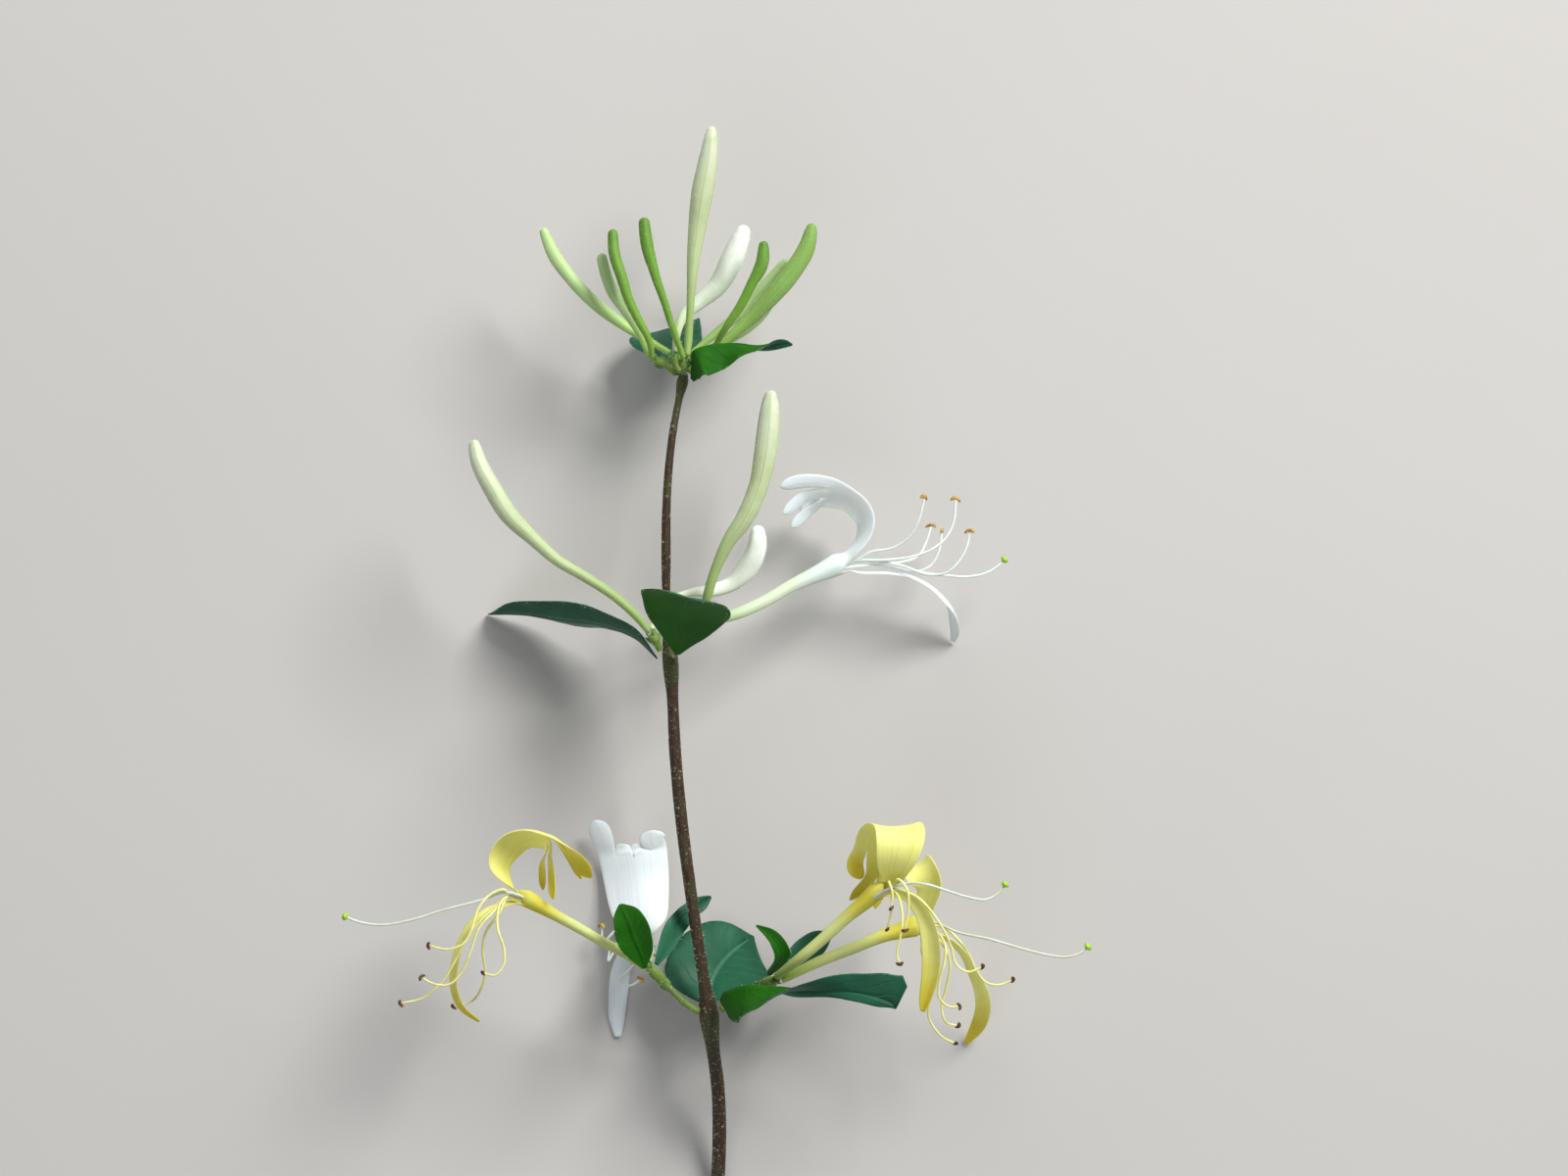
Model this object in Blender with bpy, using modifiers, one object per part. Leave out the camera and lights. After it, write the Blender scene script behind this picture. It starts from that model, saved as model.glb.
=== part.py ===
"""A cut flowering shoot of Japanese honeysuckle, laid on a level surface.

Frame: +X to the right and +Y to the top of the view from above, +Z up, the surface at Z = 0.
The stem runs along Y from a clean cut at the low end to the whorl of buds at the high end.
Every list of knots below is in millimetres; a fourth number is a radius or a half width.
"""

import bmesh
import bpy
import numpy as np
from mathutils import Vector

MM = 0.001

LEAF_THICKNESS = 0.4
PETAL_THICKNESS = 0.4
FILAMENT_DIAMETER = 0.5
STYLE_DIAMETER = 0.55
STIGMA_DIAMETER = 1.4
ANTHER_LENGTH = 1.9
ANTHER_DIAMETER = 0.85
COLLAR_DIAMETER = 1.5
JOINT_GAP = 0.3
SEAT_RADIUS = 0.55
LOWER_LIP_CURL = 0.4

STEM_SIDES = 10
BUD_SIDES = 8
THREAD_SIDES = 6
LIP_COLUMNS = 9
LOBE_COLUMNS = 3

STEM = (
    (-0.5, -96.1, 1.27, 1.25), (-0.2, -89.9, 1.6, 1.22), (0.2, -81.4, 4.0, 1.2),
    (0.0, -71.2, 8.0, 1.15),
    (-0.9, -63.6, 12.0, 1.2), (-1.5, -58.2, 14.6, 1.7), (-2.2, -53.0, 16.0, 1.1),
    (-3.2, -46.6, 17.0, 1.0),
    (-4.8, -35.5, 18.5, 1.02), (-6.3, -23.6, 19.5, 1.05), (-7.3, -12.6, 20.5, 1.02),
    (-7.8, -2.4, 21.0, 1.0),
    (-8.2, 4.2, 21.0, 1.35), (-8.6, 8.5, 21.2, 0.85), (-8.9, 22.3, 22.0, 0.8), (-8.7, 33.3, 22.0, 0.72),
    (-7.7, 43.5, 21.5, 0.65), (-6.6, 49.5, 20.7, 0.65), (-6.0, 52.6, 20.0, 0.95),
    (-5.9, 53.6, 19.8, 0.7),
)

# Short stalks. The last two knots of each are the ovary and the rim of the calyx.
STALKS = {
    "stalk_top_left": (
        (-7.25, 53.6, 20.4, 0.55), (-8.9, 54.9, 21.7, 0.6), (-10.0, 55.5, 22.2, 0.85),
        (-10.9, 56.0, 22.5, 0.6)),
    "stalk_top_back": (
        (-6.6, 53.9, 18.3, 0.45), (-7.2, 54.9, 17.6, 0.5), (-7.5, 55.8, 17.2, 0.8),
        (-7.7, 56.7, 17.0, 0.6)),
    "stalk_top_front": (
        (-5.9, 53.6, 21.4, 0.45), (-5.8, 54.2, 22.3, 0.5), (-5.7, 54.9, 23.0, 0.8),
        (-5.6, 55.8, 23.5, 0.6)),
    "stalk_top_right": (
        (-4.65, 53.5, 19.9, 0.45), (-2.8, 56.2, 19.6, 0.5), (-1.8, 57.1, 19.8, 0.85),
        (-1.0, 57.8, 20.0, 0.6)),
    "stalk_top_right_back": (
        (-5.0, 54.0, 17.9, 0.45), (-4.7, 55.0, 16.8, 0.5), (-4.4, 55.8, 16.0, 0.8),
        (-4.1, 56.6, 15.4, 0.6)),
    "stalk_middle_left": (
        (-9.9, 5.6, 21.7, 0.6), (-10.5, 6.7, 22.3, 0.7), (-10.9, 7.5, 22.7, 0.95),
        (-11.4, 8.3, 22.9, 0.7)),
    "stalk_middle_right": (
        (-6.8, 5.6, 20.2, 0.5), (-5.0, 8.0, 19.4, 0.5), (-3.8, 9.6, 19.3, 0.9),
        (-3.0, 10.4, 19.4, 0.7)),
    "branchlet_low_left": (
        (-3.45, -57.4, 15.9, 0.6), (-5.4, -56.1, 18.0, 0.6), (-8.8, -52.7, 21.5, 0.6),
        (-10.7, -50.6, 23.2, 1.1), (-11.9, -49.3, 24.1, 0.7)),
    "branchlet_low_right": (
        (0.6, -57.2, 14.6, 0.6), (3.1, -55.4, 15.2, 0.6), (7.0, -53.2, 17.6, 0.6),
        (9.3, -52.1, 20.6, 1.1), (10.3, -51.6, 21.8, 0.7)),
}

# Buds: the stalk that each one sits on, the side of that stalk's rim, then its knots.
BUDS = {
    "bud_top_far_left": ("stalk_top_back", (-1.0, 0.1, 0.1), (
        (-11.2, 58.9, 15.6, 0.6), (-15.8, 61.7, 15.8, 0.85), (-21.3, 65.8, 18.0, 1.1),
        (-25.4, 70.0, 20.0, 1.1),
        (-28.3, 74.0, 21.0, 1.15), (-30.4, 78.8, 21.0, 0.75))),
    "bud_top_left_behind": ("stalk_top_left", (-0.7, 0.0, -0.7), (
        (-13.4, 60.2, 21.4, 0.6), (-15.9, 64.4, 21.8, 0.9), (-17.9, 67.2, 22.6, 1.0),
        (-19.3, 70.6, 23.0, 1.0),
        (-20.2, 74.3, 23.0, 0.9))),
    "bud_top_left_green": ("stalk_top_left", (0.1, 0.2, 1.0), (
        (-11.9, 59.5, 25.3, 0.6), (-13.6, 62.7, 26.5, 0.75), (-15.4, 66.5, 27.0, 0.85),
        (-16.5, 70.1, 27.0, 0.95),
        (-17.7, 73.8, 26.5, 1.0), (-18.1, 78.4, 25.5, 0.85))),
    "bud_top_dark_green": ("stalk_top_front", (-0.5, 0.1, 0.9), (
        (-7.7, 61.3, 27.2, 0.6), (-9.1, 65.7, 28.8, 0.65), (-10.6, 70.1, 29.5, 0.8),
        (-12.1, 75.7, 29.5, 1.1),
        (-12.7, 80.3, 29.0, 0.95))),
    "bud_top_centre": ("stalk_top_front", (0.5, 0.2, -0.6), (
        (-5.0, 59.7, 22.8, 0.7), (-4.8, 62.6, 22.8, 0.65), (-4.6, 66.8, 23.0, 0.72),
        (-4.1, 73.8, 23.0, 1.15),
        (-3.4, 79.4, 23.0, 1.6), (-2.6, 84.8, 23.5, 1.9), (-1.6, 90.4, 24.0, 1.65),
        (-1.1, 94.2, 24.4, 1.2), (-1.0, 96.3, 24.5, 0.85))),
    "bud_top_white_behind": ("stalk_top_back", (0.6, 0.6, 0.1), (
        (-7.0, 60.9, 17.0, 0.7), (-6.0, 63.5, 16.5, 0.85), (-3.6, 65.7, 16.0, 1.2),
        (0.1, 69.0, 16.5, 1.7),
        (2.7, 73.8, 18.0, 1.95), (4.9, 79.3, 19.0, 1.3))),
    "bud_top_right_green": ("stalk_top_right", (0.2, -0.1, 1.0), (
        (1.9, 62.1, 23.6, 0.65), (4.1, 65.3, 24.6, 0.8), (6.0, 69.0, 25.0, 0.9),
        (7.7, 72.3, 25.0, 1.15),
        (8.1, 76.4, 24.5, 0.85))),
    "bud_top_right_large": ("stalk_top_right", (0.6, -0.4, -0.8), (
        (5.3, 62.7, 19.8, 1.1), (9.3, 66.8, 20.6, 1.5), (13.0, 71.2, 21.0, 1.6),
        (15.6, 75.7, 21.0, 1.45),
        (16.5, 79.6, 20.8, 0.95))),
    "bud_top_right_pale": ("stalk_top_right_back", (-0.6, 0.6, -0.5), (
        (0.8, 61.7, 12.8, 0.8), (4.5, 64.6, 12.5, 1.0), (7.5, 68.0, 13.0, 1.2), (10.4, 71.1, 13.6, 1.2),
        (12.2, 73.6, 14.0, 0.8))),
    "bud_top_right_low": ("stalk_top_right_back", (0.7, -0.3, 0.7), (
        (1.3, 59.3, 15.6, 0.8), (5.1, 61.7, 15.4, 1.0), (7.8, 64.6, 15.8, 1.2),
        (9.8, 67.6, 16.0, 0.8))),
    "bud_middle_left": ("stalk_middle_left", (-0.2, -0.3, 0.9), (
        (-13.8, 11.2, 24.6, 0.7), (-18.1, 15.1, 25.4, 0.8), (-22.8, 18.2, 26.2, 0.9),
        (-27.9, 21.3, 27.0, 1.0),
        (-31.8, 24.8, 27.5, 1.2), (-36.1, 29.1, 28.0, 1.6), (-38.8, 33.4, 28.0, 1.6),
        (-41.2, 38.1, 27.5, 1.4),
        (-42.2, 41.9, 27.0, 1.0))),
    "bud_middle_white_behind": ("stalk_middle_left", (0.8, 0.4, -0.7), (
        (-10.3, 11.6, 19.0, 0.7), (-7.7, 14.4, 16.8, 0.65), (-4.6, 15.5, 15.6, 0.7),
        (-1.4, 15.8, 15.0, 1.15),
        (2.2, 16.9, 14.6, 1.3), (4.9, 19.4, 15.0, 1.85), (6.6, 22.5, 16.0, 1.75),
        (7.1, 27.2, 16.5, 1.3))),
    "bud_middle_right": ("stalk_middle_right", (-0.2, 0.1, 1.0), (
        (-1.8, 14.7, 21.6, 0.8), (-0.2, 19.8, 22.2, 0.9), (1.8, 24.1, 22.4, 1.2),
        (4.9, 28.7, 22.5, 1.6),
        (7.2, 34.2, 22.5, 1.7), (8.4, 40.1, 22.5, 2.0), (9.0, 45.9, 22.5, 1.8),
        (9.3, 50.6, 22.5, 1.15))),
}

# Leaves: knots along the midrib, where the fourth and fifth numbers are the widths of the two half
# blades, then the directions of the first half blade and of the second along the leaf.
LEAVES = {
    "leaf_top_right": ((
        (-4.5, 52.7, 20.9, 0.9, 0.4), (-4.2, 55.2, 23.4, 3.6, 0.4), (-3.8, 57.4, 25.8, 5.4, 0.5),
        (-1.0, 58.2, 25.9, 5.2, 1.4), (3.0, 58.4, 26.0, 4.0, 1.8), (7.4, 58.0, 26.4, 2.6, 1.6),
        (10.5, 58.6, 26.8, 1.8, 1.3), (13.0, 58.4, 26.4, 0.2, 0.2)),
        ((0.4, -0.8, 0.4), (0.3, -0.85, 0.35), (0.1, -0.9, 0.4), (0.0, -0.3, 1.0), (0.0, 0.8, 0.6)),
        ((0.0, 0.3, -1.0), (0.0, 0.2, -1.0), (0.0, -0.1, -1.0), (0.0, -0.9, -0.3))),
    "leaf_top_back": ((
        (-7.2, 53.4, 17.6, 0.5, 0.5), (-7.8, 56.2, 13.0, 1.8, 2.4), (-7.6, 58.6, 9.0, 8.0, 4.8),
        (-6.4, 60.8, 5.4, 7.2, 3.9), (-4.8, 62.5, 2.6, 3.8, 2.1), (-3.4, 63.7, 0.45, 0.2, 0.2)),
        ((-1.0, 0.0, 0.1), (-1.0, -0.1, 0.15), (-1.0, -0.5, 0.0)),
        ((1.0, 0.0, 0.1), (1.0, 0.0, 0.15), (1.0, 0.0, 0.0))),
    "leaf_middle_front": ((
        (-6.9, 4.8, 23.0, 0.5, 0.5), (-6.5, 8.0, 28.0, 4.3, 4.5), (-6.0, 11.2, 33.5, 7.1, 7.6),
        (-5.4, 13.6, 39.0, 7.8, 7.8), (-5.0, 14.6, 44.0, 5.0, 5.0), (-4.8, 14.6, 48.0, 0.2, 0.2)),
        ((-0.95, 0.3, -0.1), (-0.97, 0.4, 0.0), (-0.97, 0.22, 0.0)),
        ((0.95, 0.1, 0.1), (0.97, -0.1, 0.0), (0.97, -0.22, 0.0))),
    "leaf_middle_left": ((
        (-10.6, 4.2, 20.4, 0.5, 0.5), (-14.0, 7.5, 17.4, 3.6, 3.6), (-20.0, 9.8, 14.0, 5.8, 5.6),
        (-27.0, 10.8, 10.2, 6.0, 5.6), (-34.0, 11.8, 5.8, 4.2, 3.8), (-40.4, 11.7, 0.45, 0.2, 0.2)),
        ((0.1, 0.3, 0.9), (0.1, 0.45, 0.9), (0.1, 0.2, 0.9)),
        ((-0.1, 0.1, -0.9), (-0.1, -0.1, -0.95), (-0.1, 0.0, -0.9))),
    "leaf_low_front": ((
        (1.5, -57.2, 16.3, 0.5, 0.4), (0.9, -54.8, 20.4, 4.2, 1.6), (4.4, -53.0, 23.8, 6.4, 3.0),
        (9.8, -53.0, 27.4, 5.2, 3.0), (14.9, -53.2, 30.2, 3.4, 1.6), (19.9, -53.2, 32.0, 3.6, 1.2),
        (24.6, -53.6, 33.0, 3.9, 1.5), (28.6, -54.7, 33.2, 5.2, 1.3), (30.1, -55.4, 33.1, 5.0, 0.7),
        (30.9, -56.1, 33.0, 0.2, 0.2)),
        ((0.5, -0.8, 0.3), (0.1, -0.9, 0.4), (0.0, -0.6, 0.8), (0.0, 0.4, 0.9), (0.1, 0.9, 0.4),
        (0.1, 0.9, 0.3)),
        ((0.0, 0.1, -1.0), (0.0, 0.0, -1.0), (0.0, -0.1, -1.0), (-0.1, -0.8, -0.6), (-0.1, -0.9, -0.1),
         (-0.1, -0.9, 0.1))),
    "leaf_low_back": ((
        (-1.6, -56.6, 12.9, 0.5, 0.5), (-1.4, -54.1, 10.6, 7.6, 5.5), (-0.5, -51.2, 8.6, 8.8, 9.2),
        (1.3, -48.6, 5.8, 8.0, 9.0), (3.7, -46.5, 3.0, 5.8, 6.8), (6.2, -45.0, 0.45, 0.2, 0.2)),
        ((-1.0, 0.1, 0.1), (-0.9, 0.4, 0.1), (-0.7, 0.7, 0.1)),
        ((1.0, 0.0, 0.1), (0.9, -0.3, 0.1), (0.7, -0.7, 0.1))),
    "bract_left_front": ((
        (-12.6, -49.4, 26.0, 0.4, 0.4), (-13.3, -46.6, 28.0, 2.3, 2.3), (-14.4, -43.8, 29.8, 3.2, 3.2),
        (-15.3, -41.2, 31.2, 2.8, 3.0), (-16.2, -39.3, 31.7, 1.7, 1.9), (-16.7, -38.2, 31.8, 0.3, 0.3)),
        ((-0.9, -0.3, 0.3), (-0.9, -0.3, 0.4), (-0.9, -0.4, 0.1)),
        ((0.9, 0.3, 0.2), (0.9, 0.3, 0.3), (0.9, 0.4, 0.1))),
    "bract_left_back": ((
        (-10.6, -49.0, 21.5, 0.4, 0.4), (-9.0, -46.0, 18.6, 1.5, 1.5), (-7.2, -42.6, 15.6, 1.9, 1.8),
        (-4.6, -39.9, 13.2, 1.6, 1.5), (-2.5, -38.4, 12.1, 1.1, 1.2), (-1.2, -37.6, 11.7, 0.25, 0.25)),
        ((-0.8, 0.5, 0.3), (-0.8, 0.5, 0.3), (-0.5, 0.8, 0.3)),
        ((0.8, -0.5, 0.3), (0.8, -0.5, 0.3), (0.5, -0.8, 0.3))),
    "bract_right_front": ((
        (9.0, -50.8, 22.3, 0.4, 0.4), (10.0, -49.2, 25.8, 1.2, 1.2), (11.2, -46.8, 28.6, 1.5, 1.5),
        (9.4, -43.6, 30.0, 1.1, 1.1), (6.8, -41.9, 30.5, 0.2, 0.2)),
        ((-0.9, -0.1, 0.3), (-0.8, -0.4, 0.4), (-0.5, -0.8, 0.3)),
        ((0.9, 0.1, 0.2), (0.8, 0.4, 0.3), (0.5, 0.8, 0.3))),
    "bract_right_back": ((
        (10.3, -50.7, 19.9, 0.4, 0.4), (13.0, -48.8, 17.6, 1.9, 1.9), (15.8, -46.6, 15.2, 2.4, 2.4),
        (18.2, -44.9, 13.4, 1.7, 1.7), (20.0, -44.0, 12.2, 0.2, 0.2)),
        ((-0.6, 0.8, 0.2), (-0.6, 0.8, 0.2), (-0.6, 0.8, 0.1)),
        ((0.6, -0.8, 0.2), (0.6, -0.8, 0.2), (0.6, -0.8, 0.1))),
}

# Flowers: the stalk and the side of its rim, the knots of the tube, then the two lips. A lip is its
# knots, the direction across it at the start, the middle and the end, and how far its edges curl.
# The upper lip ends in four lobes, each given as two points, with the direction across them and their
# half widths.
FLOWERS = {
    "flower_middle": {
        "seat": ("stalk_middle_right", (0.7, -0.4, -0.5)),
        "tube": (
            (2.7, 11.6, 17.6, 0.9), (8.0, 13.9, 16.2, 0.98), (12.9, 16.7, 14.5, 1.05),
            (17.8, 19.0, 13.0, 1.45),
            (20.6, 20.3, 12.2, 1.9)),
        "upper": (
            (21.6, 21.6, 12.0, 1.7), (23.2, 23.0, 12.0, 2.6), (24.9, 25.4, 12.0, 3.5),
            (25.1, 27.9, 12.0, 4.1),
            (23.8, 30.0, 12.0, 4.3), (21.4, 31.5, 12.0, 4.4), (19.2, 32.3, 12.0, 4.3)),
        "upper_across": ((0.15, -0.15, 1.0), (0.35, 0.05, 0.95), (0.1, 0.45, 0.9)),
        "upper_curl": 0.3,
        "lobes": (
            ((15.0, 34.9, 15.0), (10.8, 34.0, 15.6)), ((15.4, 32.2, 12.6), (11.4, 29.2, 13.4)),
            ((17.0, 30.4, 10.6), (12.8, 26.9, 10.8)), ((17.6, 32.0, 7.6), (14.4, 29.4, 6.4))),
        "lobe_across": (-0.25, 0.85, 0.45),
        "lobe_widths": (1.05, 1.05, 1.05, 1.05),
        "lower": (
            (21.9, 19.2, 12.0, 0.8), (24.9, 19.0, 12.0, 0.9), (29.4, 19.0, 12.0, 1.0),
            (33.7, 18.4, 11.5, 1.2),
            (36.7, 17.0, 10.5, 1.4), (39.3, 14.8, 8.5, 1.5), (41.0, 12.6, 6.0, 1.4),
            (41.7, 9.5, 3.0, 1.2),
            (41.3, 6.8, 0.45, 0.4)),
        "lower_across": ((0.0, 0.0, 1.0), (0.1, -0.2, 1.0), (0.5, 0.1, 0.8)),
        "threads": (
            ((26.2, 22.4, 12.7), (30.8, 23.4, 14.0), (33.4, 25.2, 15.0), (35.0, 28.1, 16.0),
            (36.0, 32.0, 16.5)),
            ((32.4, 20.9, 11.0), (35.0, 21.9, 10.0), (36.6, 24.8, 9.0), (37.3, 27.1, 8.5)),
            ((29.2, 21.2, 13.3), (34.0, 21.8, 14.0), (37.6, 23.2, 14.5), (39.9, 25.2, 14.5),
            (41.2, 28.1, 14.5),
             (41.5, 31.7, 14.5)),
            ((31.1, 20.2, 9.8), (35.3, 19.3, 8.5), (37.3, 20.3, 8.0), (38.6, 22.6, 8.0),
            (39.2, 26.1, 8.0)),
            ((32.0, 20.2, 13.5), (37.3, 18.6, 15.0), (39.9, 19.0, 16.0), (42.2, 21.2, 16.5),
            (43.5, 23.9, 16.5),
             (43.9, 26.1, 16.5))),
        "collar": (24.0, 21.0, 12.2),
        "style": (
            (24.9, 20.2, 12.0), (31.1, 19.9, 12.0), (35.6, 19.0, 12.3), (39.9, 18.5, 12.0),
            (43.8, 18.3, 12.0),
            (47.0, 19.0, 12.0), (49.3, 20.5, 12.0), (50.0, 21.2, 12.0)),
    },
    "flower_low_left": {
        "seat": ("branchlet_low_left", (-0.7, -0.5, 0.4)),
        "tube": (
            (-16.3, -46.8, 25.4, 0.75), (-20.0, -44.8, 26.2, 0.76), (-23.7, -42.6, 27.1, 0.8),
            (-29.2, -39.5, 28.4, 0.98), (-32.7, -37.4, 29.0, 1.45)),
        "upper": (
            (-33.9, -36.4, 29.0, 1.4), (-36.4, -34.5, 29.2, 2.4), (-37.8, -31.6, 29.4, 3.2),
            (-37.0, -28.9, 29.8, 3.8), (-34.9, -26.9, 30.0, 4.2), (-32.2, -26.2, 30.0, 4.4),
            (-29.4, -26.8, 30.0, 4.5)),
        "upper_across": ((-0.6, 0.5, 0.7), (-0.35, 0.45, 0.85), (0.1, 0.3, 1.0)),
        "upper_curl": 0.3,
        "lobes": (
            ((-26.0, -28.2, 32.5), (-21.6, -33.6, 32.4)), ((-26.4, -29.0, 30.0), (-23.4, -34.0, 29.0)),
            ((-28.8, -31.0, 28.6), (-28.2, -37.4, 31.6)), ((-30.2, -31.4, 26.4), (-30.2, -36.0, 25.4))),
        "lobe_across": (0.6, 0.45, 0.65),
        "lobe_widths": (2.0, 0.8, 1.2, 0.9),
        "lower": (
            (-34.6, -38.3, 29.0, 0.8), (-36.9, -38.5, 29.5, 0.9), (-39.3, -39.4, 30.0, 0.95),
            (-42.2, -41.7, 30.0, 1.0), (-44.0, -44.9, 29.5, 1.1), (-45.2, -49.1, 28.5, 1.1),
            (-45.4, -52.7, 27.5, 1.0), (-44.2, -56.1, 26.5, 0.9), (-41.1, -58.7, 26.0, 0.4)),
        "lower_across": ((0.5, -0.4, 0.7), (0.6, 0.3, 0.7), (0.3, 0.5, 0.8)),
        "threads": (
            ((-36.6, -35.7, 31.2), (-39.3, -36.7, 31.8), (-41.3, -39.4, 32.7), (-42.1, -42.2, 33.5),
             (-43.6, -44.9, 34.0), (-46.3, -45.9, 34.0), (-49.5, -45.3, 33.5)),
            ((-37.4, -38.2, 32.0), (-37.8, -42.2, 33.0), (-36.6, -46.1, 33.5), (-36.8, -48.8, 33.5),
             (-38.3, -50.4, 33.5), (-40.1, -50.0, 33.5)),
            ((-38.6, -39.6, 32.4), (-40.9, -42.2, 32.8), (-42.4, -46.1, 32.6), (-44.0, -50.0, 32.0),
             (-46.3, -52.1, 31.6), (-49.5, -51.7, 31.4), (-50.8, -50.9, 31.4)),
            ((-37.6, -39.9, 31.3), (-39.8, -42.9, 30.2), (-40.5, -46.4, 28.6), (-40.1, -50.0, 27.2),
             (-40.9, -53.1, 25.4), (-42.8, -55.4, 23.0), (-45.6, -56.2, 22.5)),
            ((-38.8, -39.2, 31.5), (-42.6, -43.2, 31.8), (-45.4, -48.4, 31.0), (-47.6, -51.9, 30.2),
             (-51.0, -54.6, 29.4), (-54.5, -55.4, 29.0))),
        "collar": (-36.0, -36.9, 29.9),
        "style": (
            (-36.9, -36.2, 30.6), (-40.9, -37.6, 30.4), (-47.1, -39.2, 30.6), (-53.0, -41.0, 31.0),
            (-58.1, -41.8, 31.0), (-62.0, -41.2, 31.0), (-64.1, -40.4, 31.0)),
    },
    "flower_low_white": {
        "seat": ("branchlet_low_left", (0.4, 0.6, -0.7)),
        "tube": (
            (-12.1, -47.4, 20.6, 0.85), (-12.3, -46.2, 17.0, 1.1), (-12.9, -45.2, 12.6, 1.5),
            (-13.4, -44.6, 9.2, 1.9)),
        "upper": (
            (-13.4, -43.0, 7.8, 3.2), (-13.6, -41.0, 5.6, 4.7), (-14.0, -38.0, 3.6, 5.4),
            (-14.4, -34.4, 2.6, 5.8), (-15.0, -30.2, 2.6, 6.1)),
        "upper_across": ((-1.0, 0.0, 0.0), (-1.0, 0.0, 0.0), (-1.0, 0.0, 0.0)),
        "upper_curl": -0.2,
        "lobes": (
            ((-20.2, -28.2, 3.4), (-21.6, -24.4, 4.8)), ((-16.7, -29.4, 2.7), (-16.7, -28.6, 2.9)),
            ((-14.1, -29.4, 2.7), (-14.3, -28.5, 2.9)), ((-11.3, -28.4, 3.2), (-11.7, -26.2, 4.2))),
        "lobe_across": (-1.0, 0.0, 0.0),
        "lobe_widths": (1.9, 1.3, 1.25, 2.2),
        "lower": (
            (-15.3, -46.2, 7.6, 0.9), (-16.4, -48.6, 5.0, 1.4), (-17.2, -51.7, 3.0, 1.75),
            (-17.6, -55.9, 1.4, 1.7), (-17.8, -59.3, 0.8, 1.5), (-17.6, -62.6, 0.7, 0.6)),
        "lower_across": ((-1.0, 0.0, 0.0), (-1.0, -0.1, 0.0), (-1.0, -0.1, 0.0)),
        "threads": (
            ((-17.4, -43.4, 6.2), (-19.6, -45.4, 5.2), (-20.1, -45.9, 4.6), (-20.4, -43.0, 5.4)),
            ((-17.4, -45.6, 6.6), (-18.6, -48.0, 6.4), (-19.2, -49.0, 6.6), (-18.9, -46.6, 7.4)),
            ((-13.6, -47.6, 8.0), (-15.6, -50.6, 8.0), (-17.4, -52.4, 7.6), (-15.6, -53.3, 7.6),
             (-13.6, -52.3, 7.8)),
            ((-12.6, -46.6, 6.0), (-12.2, -47.8, 4.8), (-12.3, -48.8, 4.2)),
            ((-12.0, -46.0, 5.2), (-11.0, -46.8, 3.8), (-10.7, -48.0, 3.2))),
        "collar": (-14.1, -45.0, 7.0),
        "style": (
            (-12.9, -45.4, 7.2), (-11.2, -46.2, 6.2), (-9.9, -47.2, 5.2), (-9.2, -48.6, 4.4),
            (-8.9, -49.9, 3.9)),
    },
    "flower_low_right_upper": {
        "seat": ("branchlet_low_right", (0.1, 0.5, 0.8)),
        "tube": (
            (15.2, -47.0, 26.7, 0.88), (18.2, -44.4, 27.7, 0.92), (23.2, -39.8, 29.0, 1.08),
            (25.6, -37.8, 29.7, 1.3),
            (27.4, -36.1, 30.2, 1.6)),
        "upper": (
            (29.8, -34.4, 31.6, 1.6), (30.4, -32.2, 34.0, 2.8), (31.1, -29.3, 36.0, 3.8),
            (31.5, -26.7, 36.0, 4.3),
            (31.3, -24.9, 33.8, 4.5), (30.2, -24.7, 30.8, 4.9), (29.1, -26.4, 28.2, 5.2),
            (28.2, -28.9, 27.0, 5.0)),
        "upper_across": ((1.0, -0.1, -0.1), (0.95, 0.0, -0.25), (0.9, 0.1, -0.4)),
        "upper_curl": -0.15,
        "lobes": (
            ((31.8, -31.4, 24.6), (32.2, -33.8, 23.2)), ((28.9, -33.4, 25.2), (27.3, -39.2, 25.4)),
            ((26.6, -33.8, 25.9), (22.9, -37.7, 26.2)), ((23.9, -31.8, 27.4), (24.9, -34.0, 28.4))),
        "lobe_across": (0.9, 0.1, -0.4),
        "lobe_widths": (1.2, 1.1, 1.1, 1.5),
        "lower": (
            (29.8, -36.9, 30.6, 0.9), (32.3, -36.3, 31.4, 1.2), (35.0, -38.6, 32.2, 1.6),
            (36.7, -42.8, 32.0, 1.75),
            (37.1, -47.6, 31.0, 1.7), (36.7, -51.5, 30.0, 1.5), (35.8, -55.4, 29.0, 0.9),
            (35.5, -56.9, 28.5, 0.4)),
        "lower_across": ((0.3, 0.8, 0.5), (0.9, 0.3, 0.3), (0.9, -0.2, 0.3)),
        "threads": (
            ((29.6, -34.2, 34.4), (30.2, -36.2, 35.2), (30.0, -38.6, 34.9)),
            ((31.0, -36.4, 34.2), (31.9, -39.8, 35.0), (31.6, -43.7, 34.8), (31.0, -46.8, 34.3),
            (31.4, -48.2, 34.3)),
            ((31.2, -33.8, 34.6), (32.7, -35.5, 35.6), (33.0, -38.6, 35.3), (32.4, -42.4, 34.9)),
            ((30.2, -37.9, 31.2), (29.9, -40.6, 30.4), (29.4, -42.4, 30.2)),
            ((34.0, -36.6, 35.3), (38.6, -41.8, 35.4), (40.4, -45.7, 34.5), (41.2, -48.5, 34.0),
            (43.2, -49.8, 33.5),
             (45.6, -49.0, 33.0))),
        "collar": (29.9, -35.7, 32.6),
        "style": (
            (31.2, -34.9, 33.6), (33.0, -34.5, 34.2), (36.2, -34.7, 35.0), (39.4, -35.7, 35.0),
            (43.3, -36.9, 35.0),
            (46.4, -37.3, 34.5), (48.8, -35.9, 34.0), (49.6, -34.8, 34.0)),
    },
    "flower_low_right_lower": {
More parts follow.
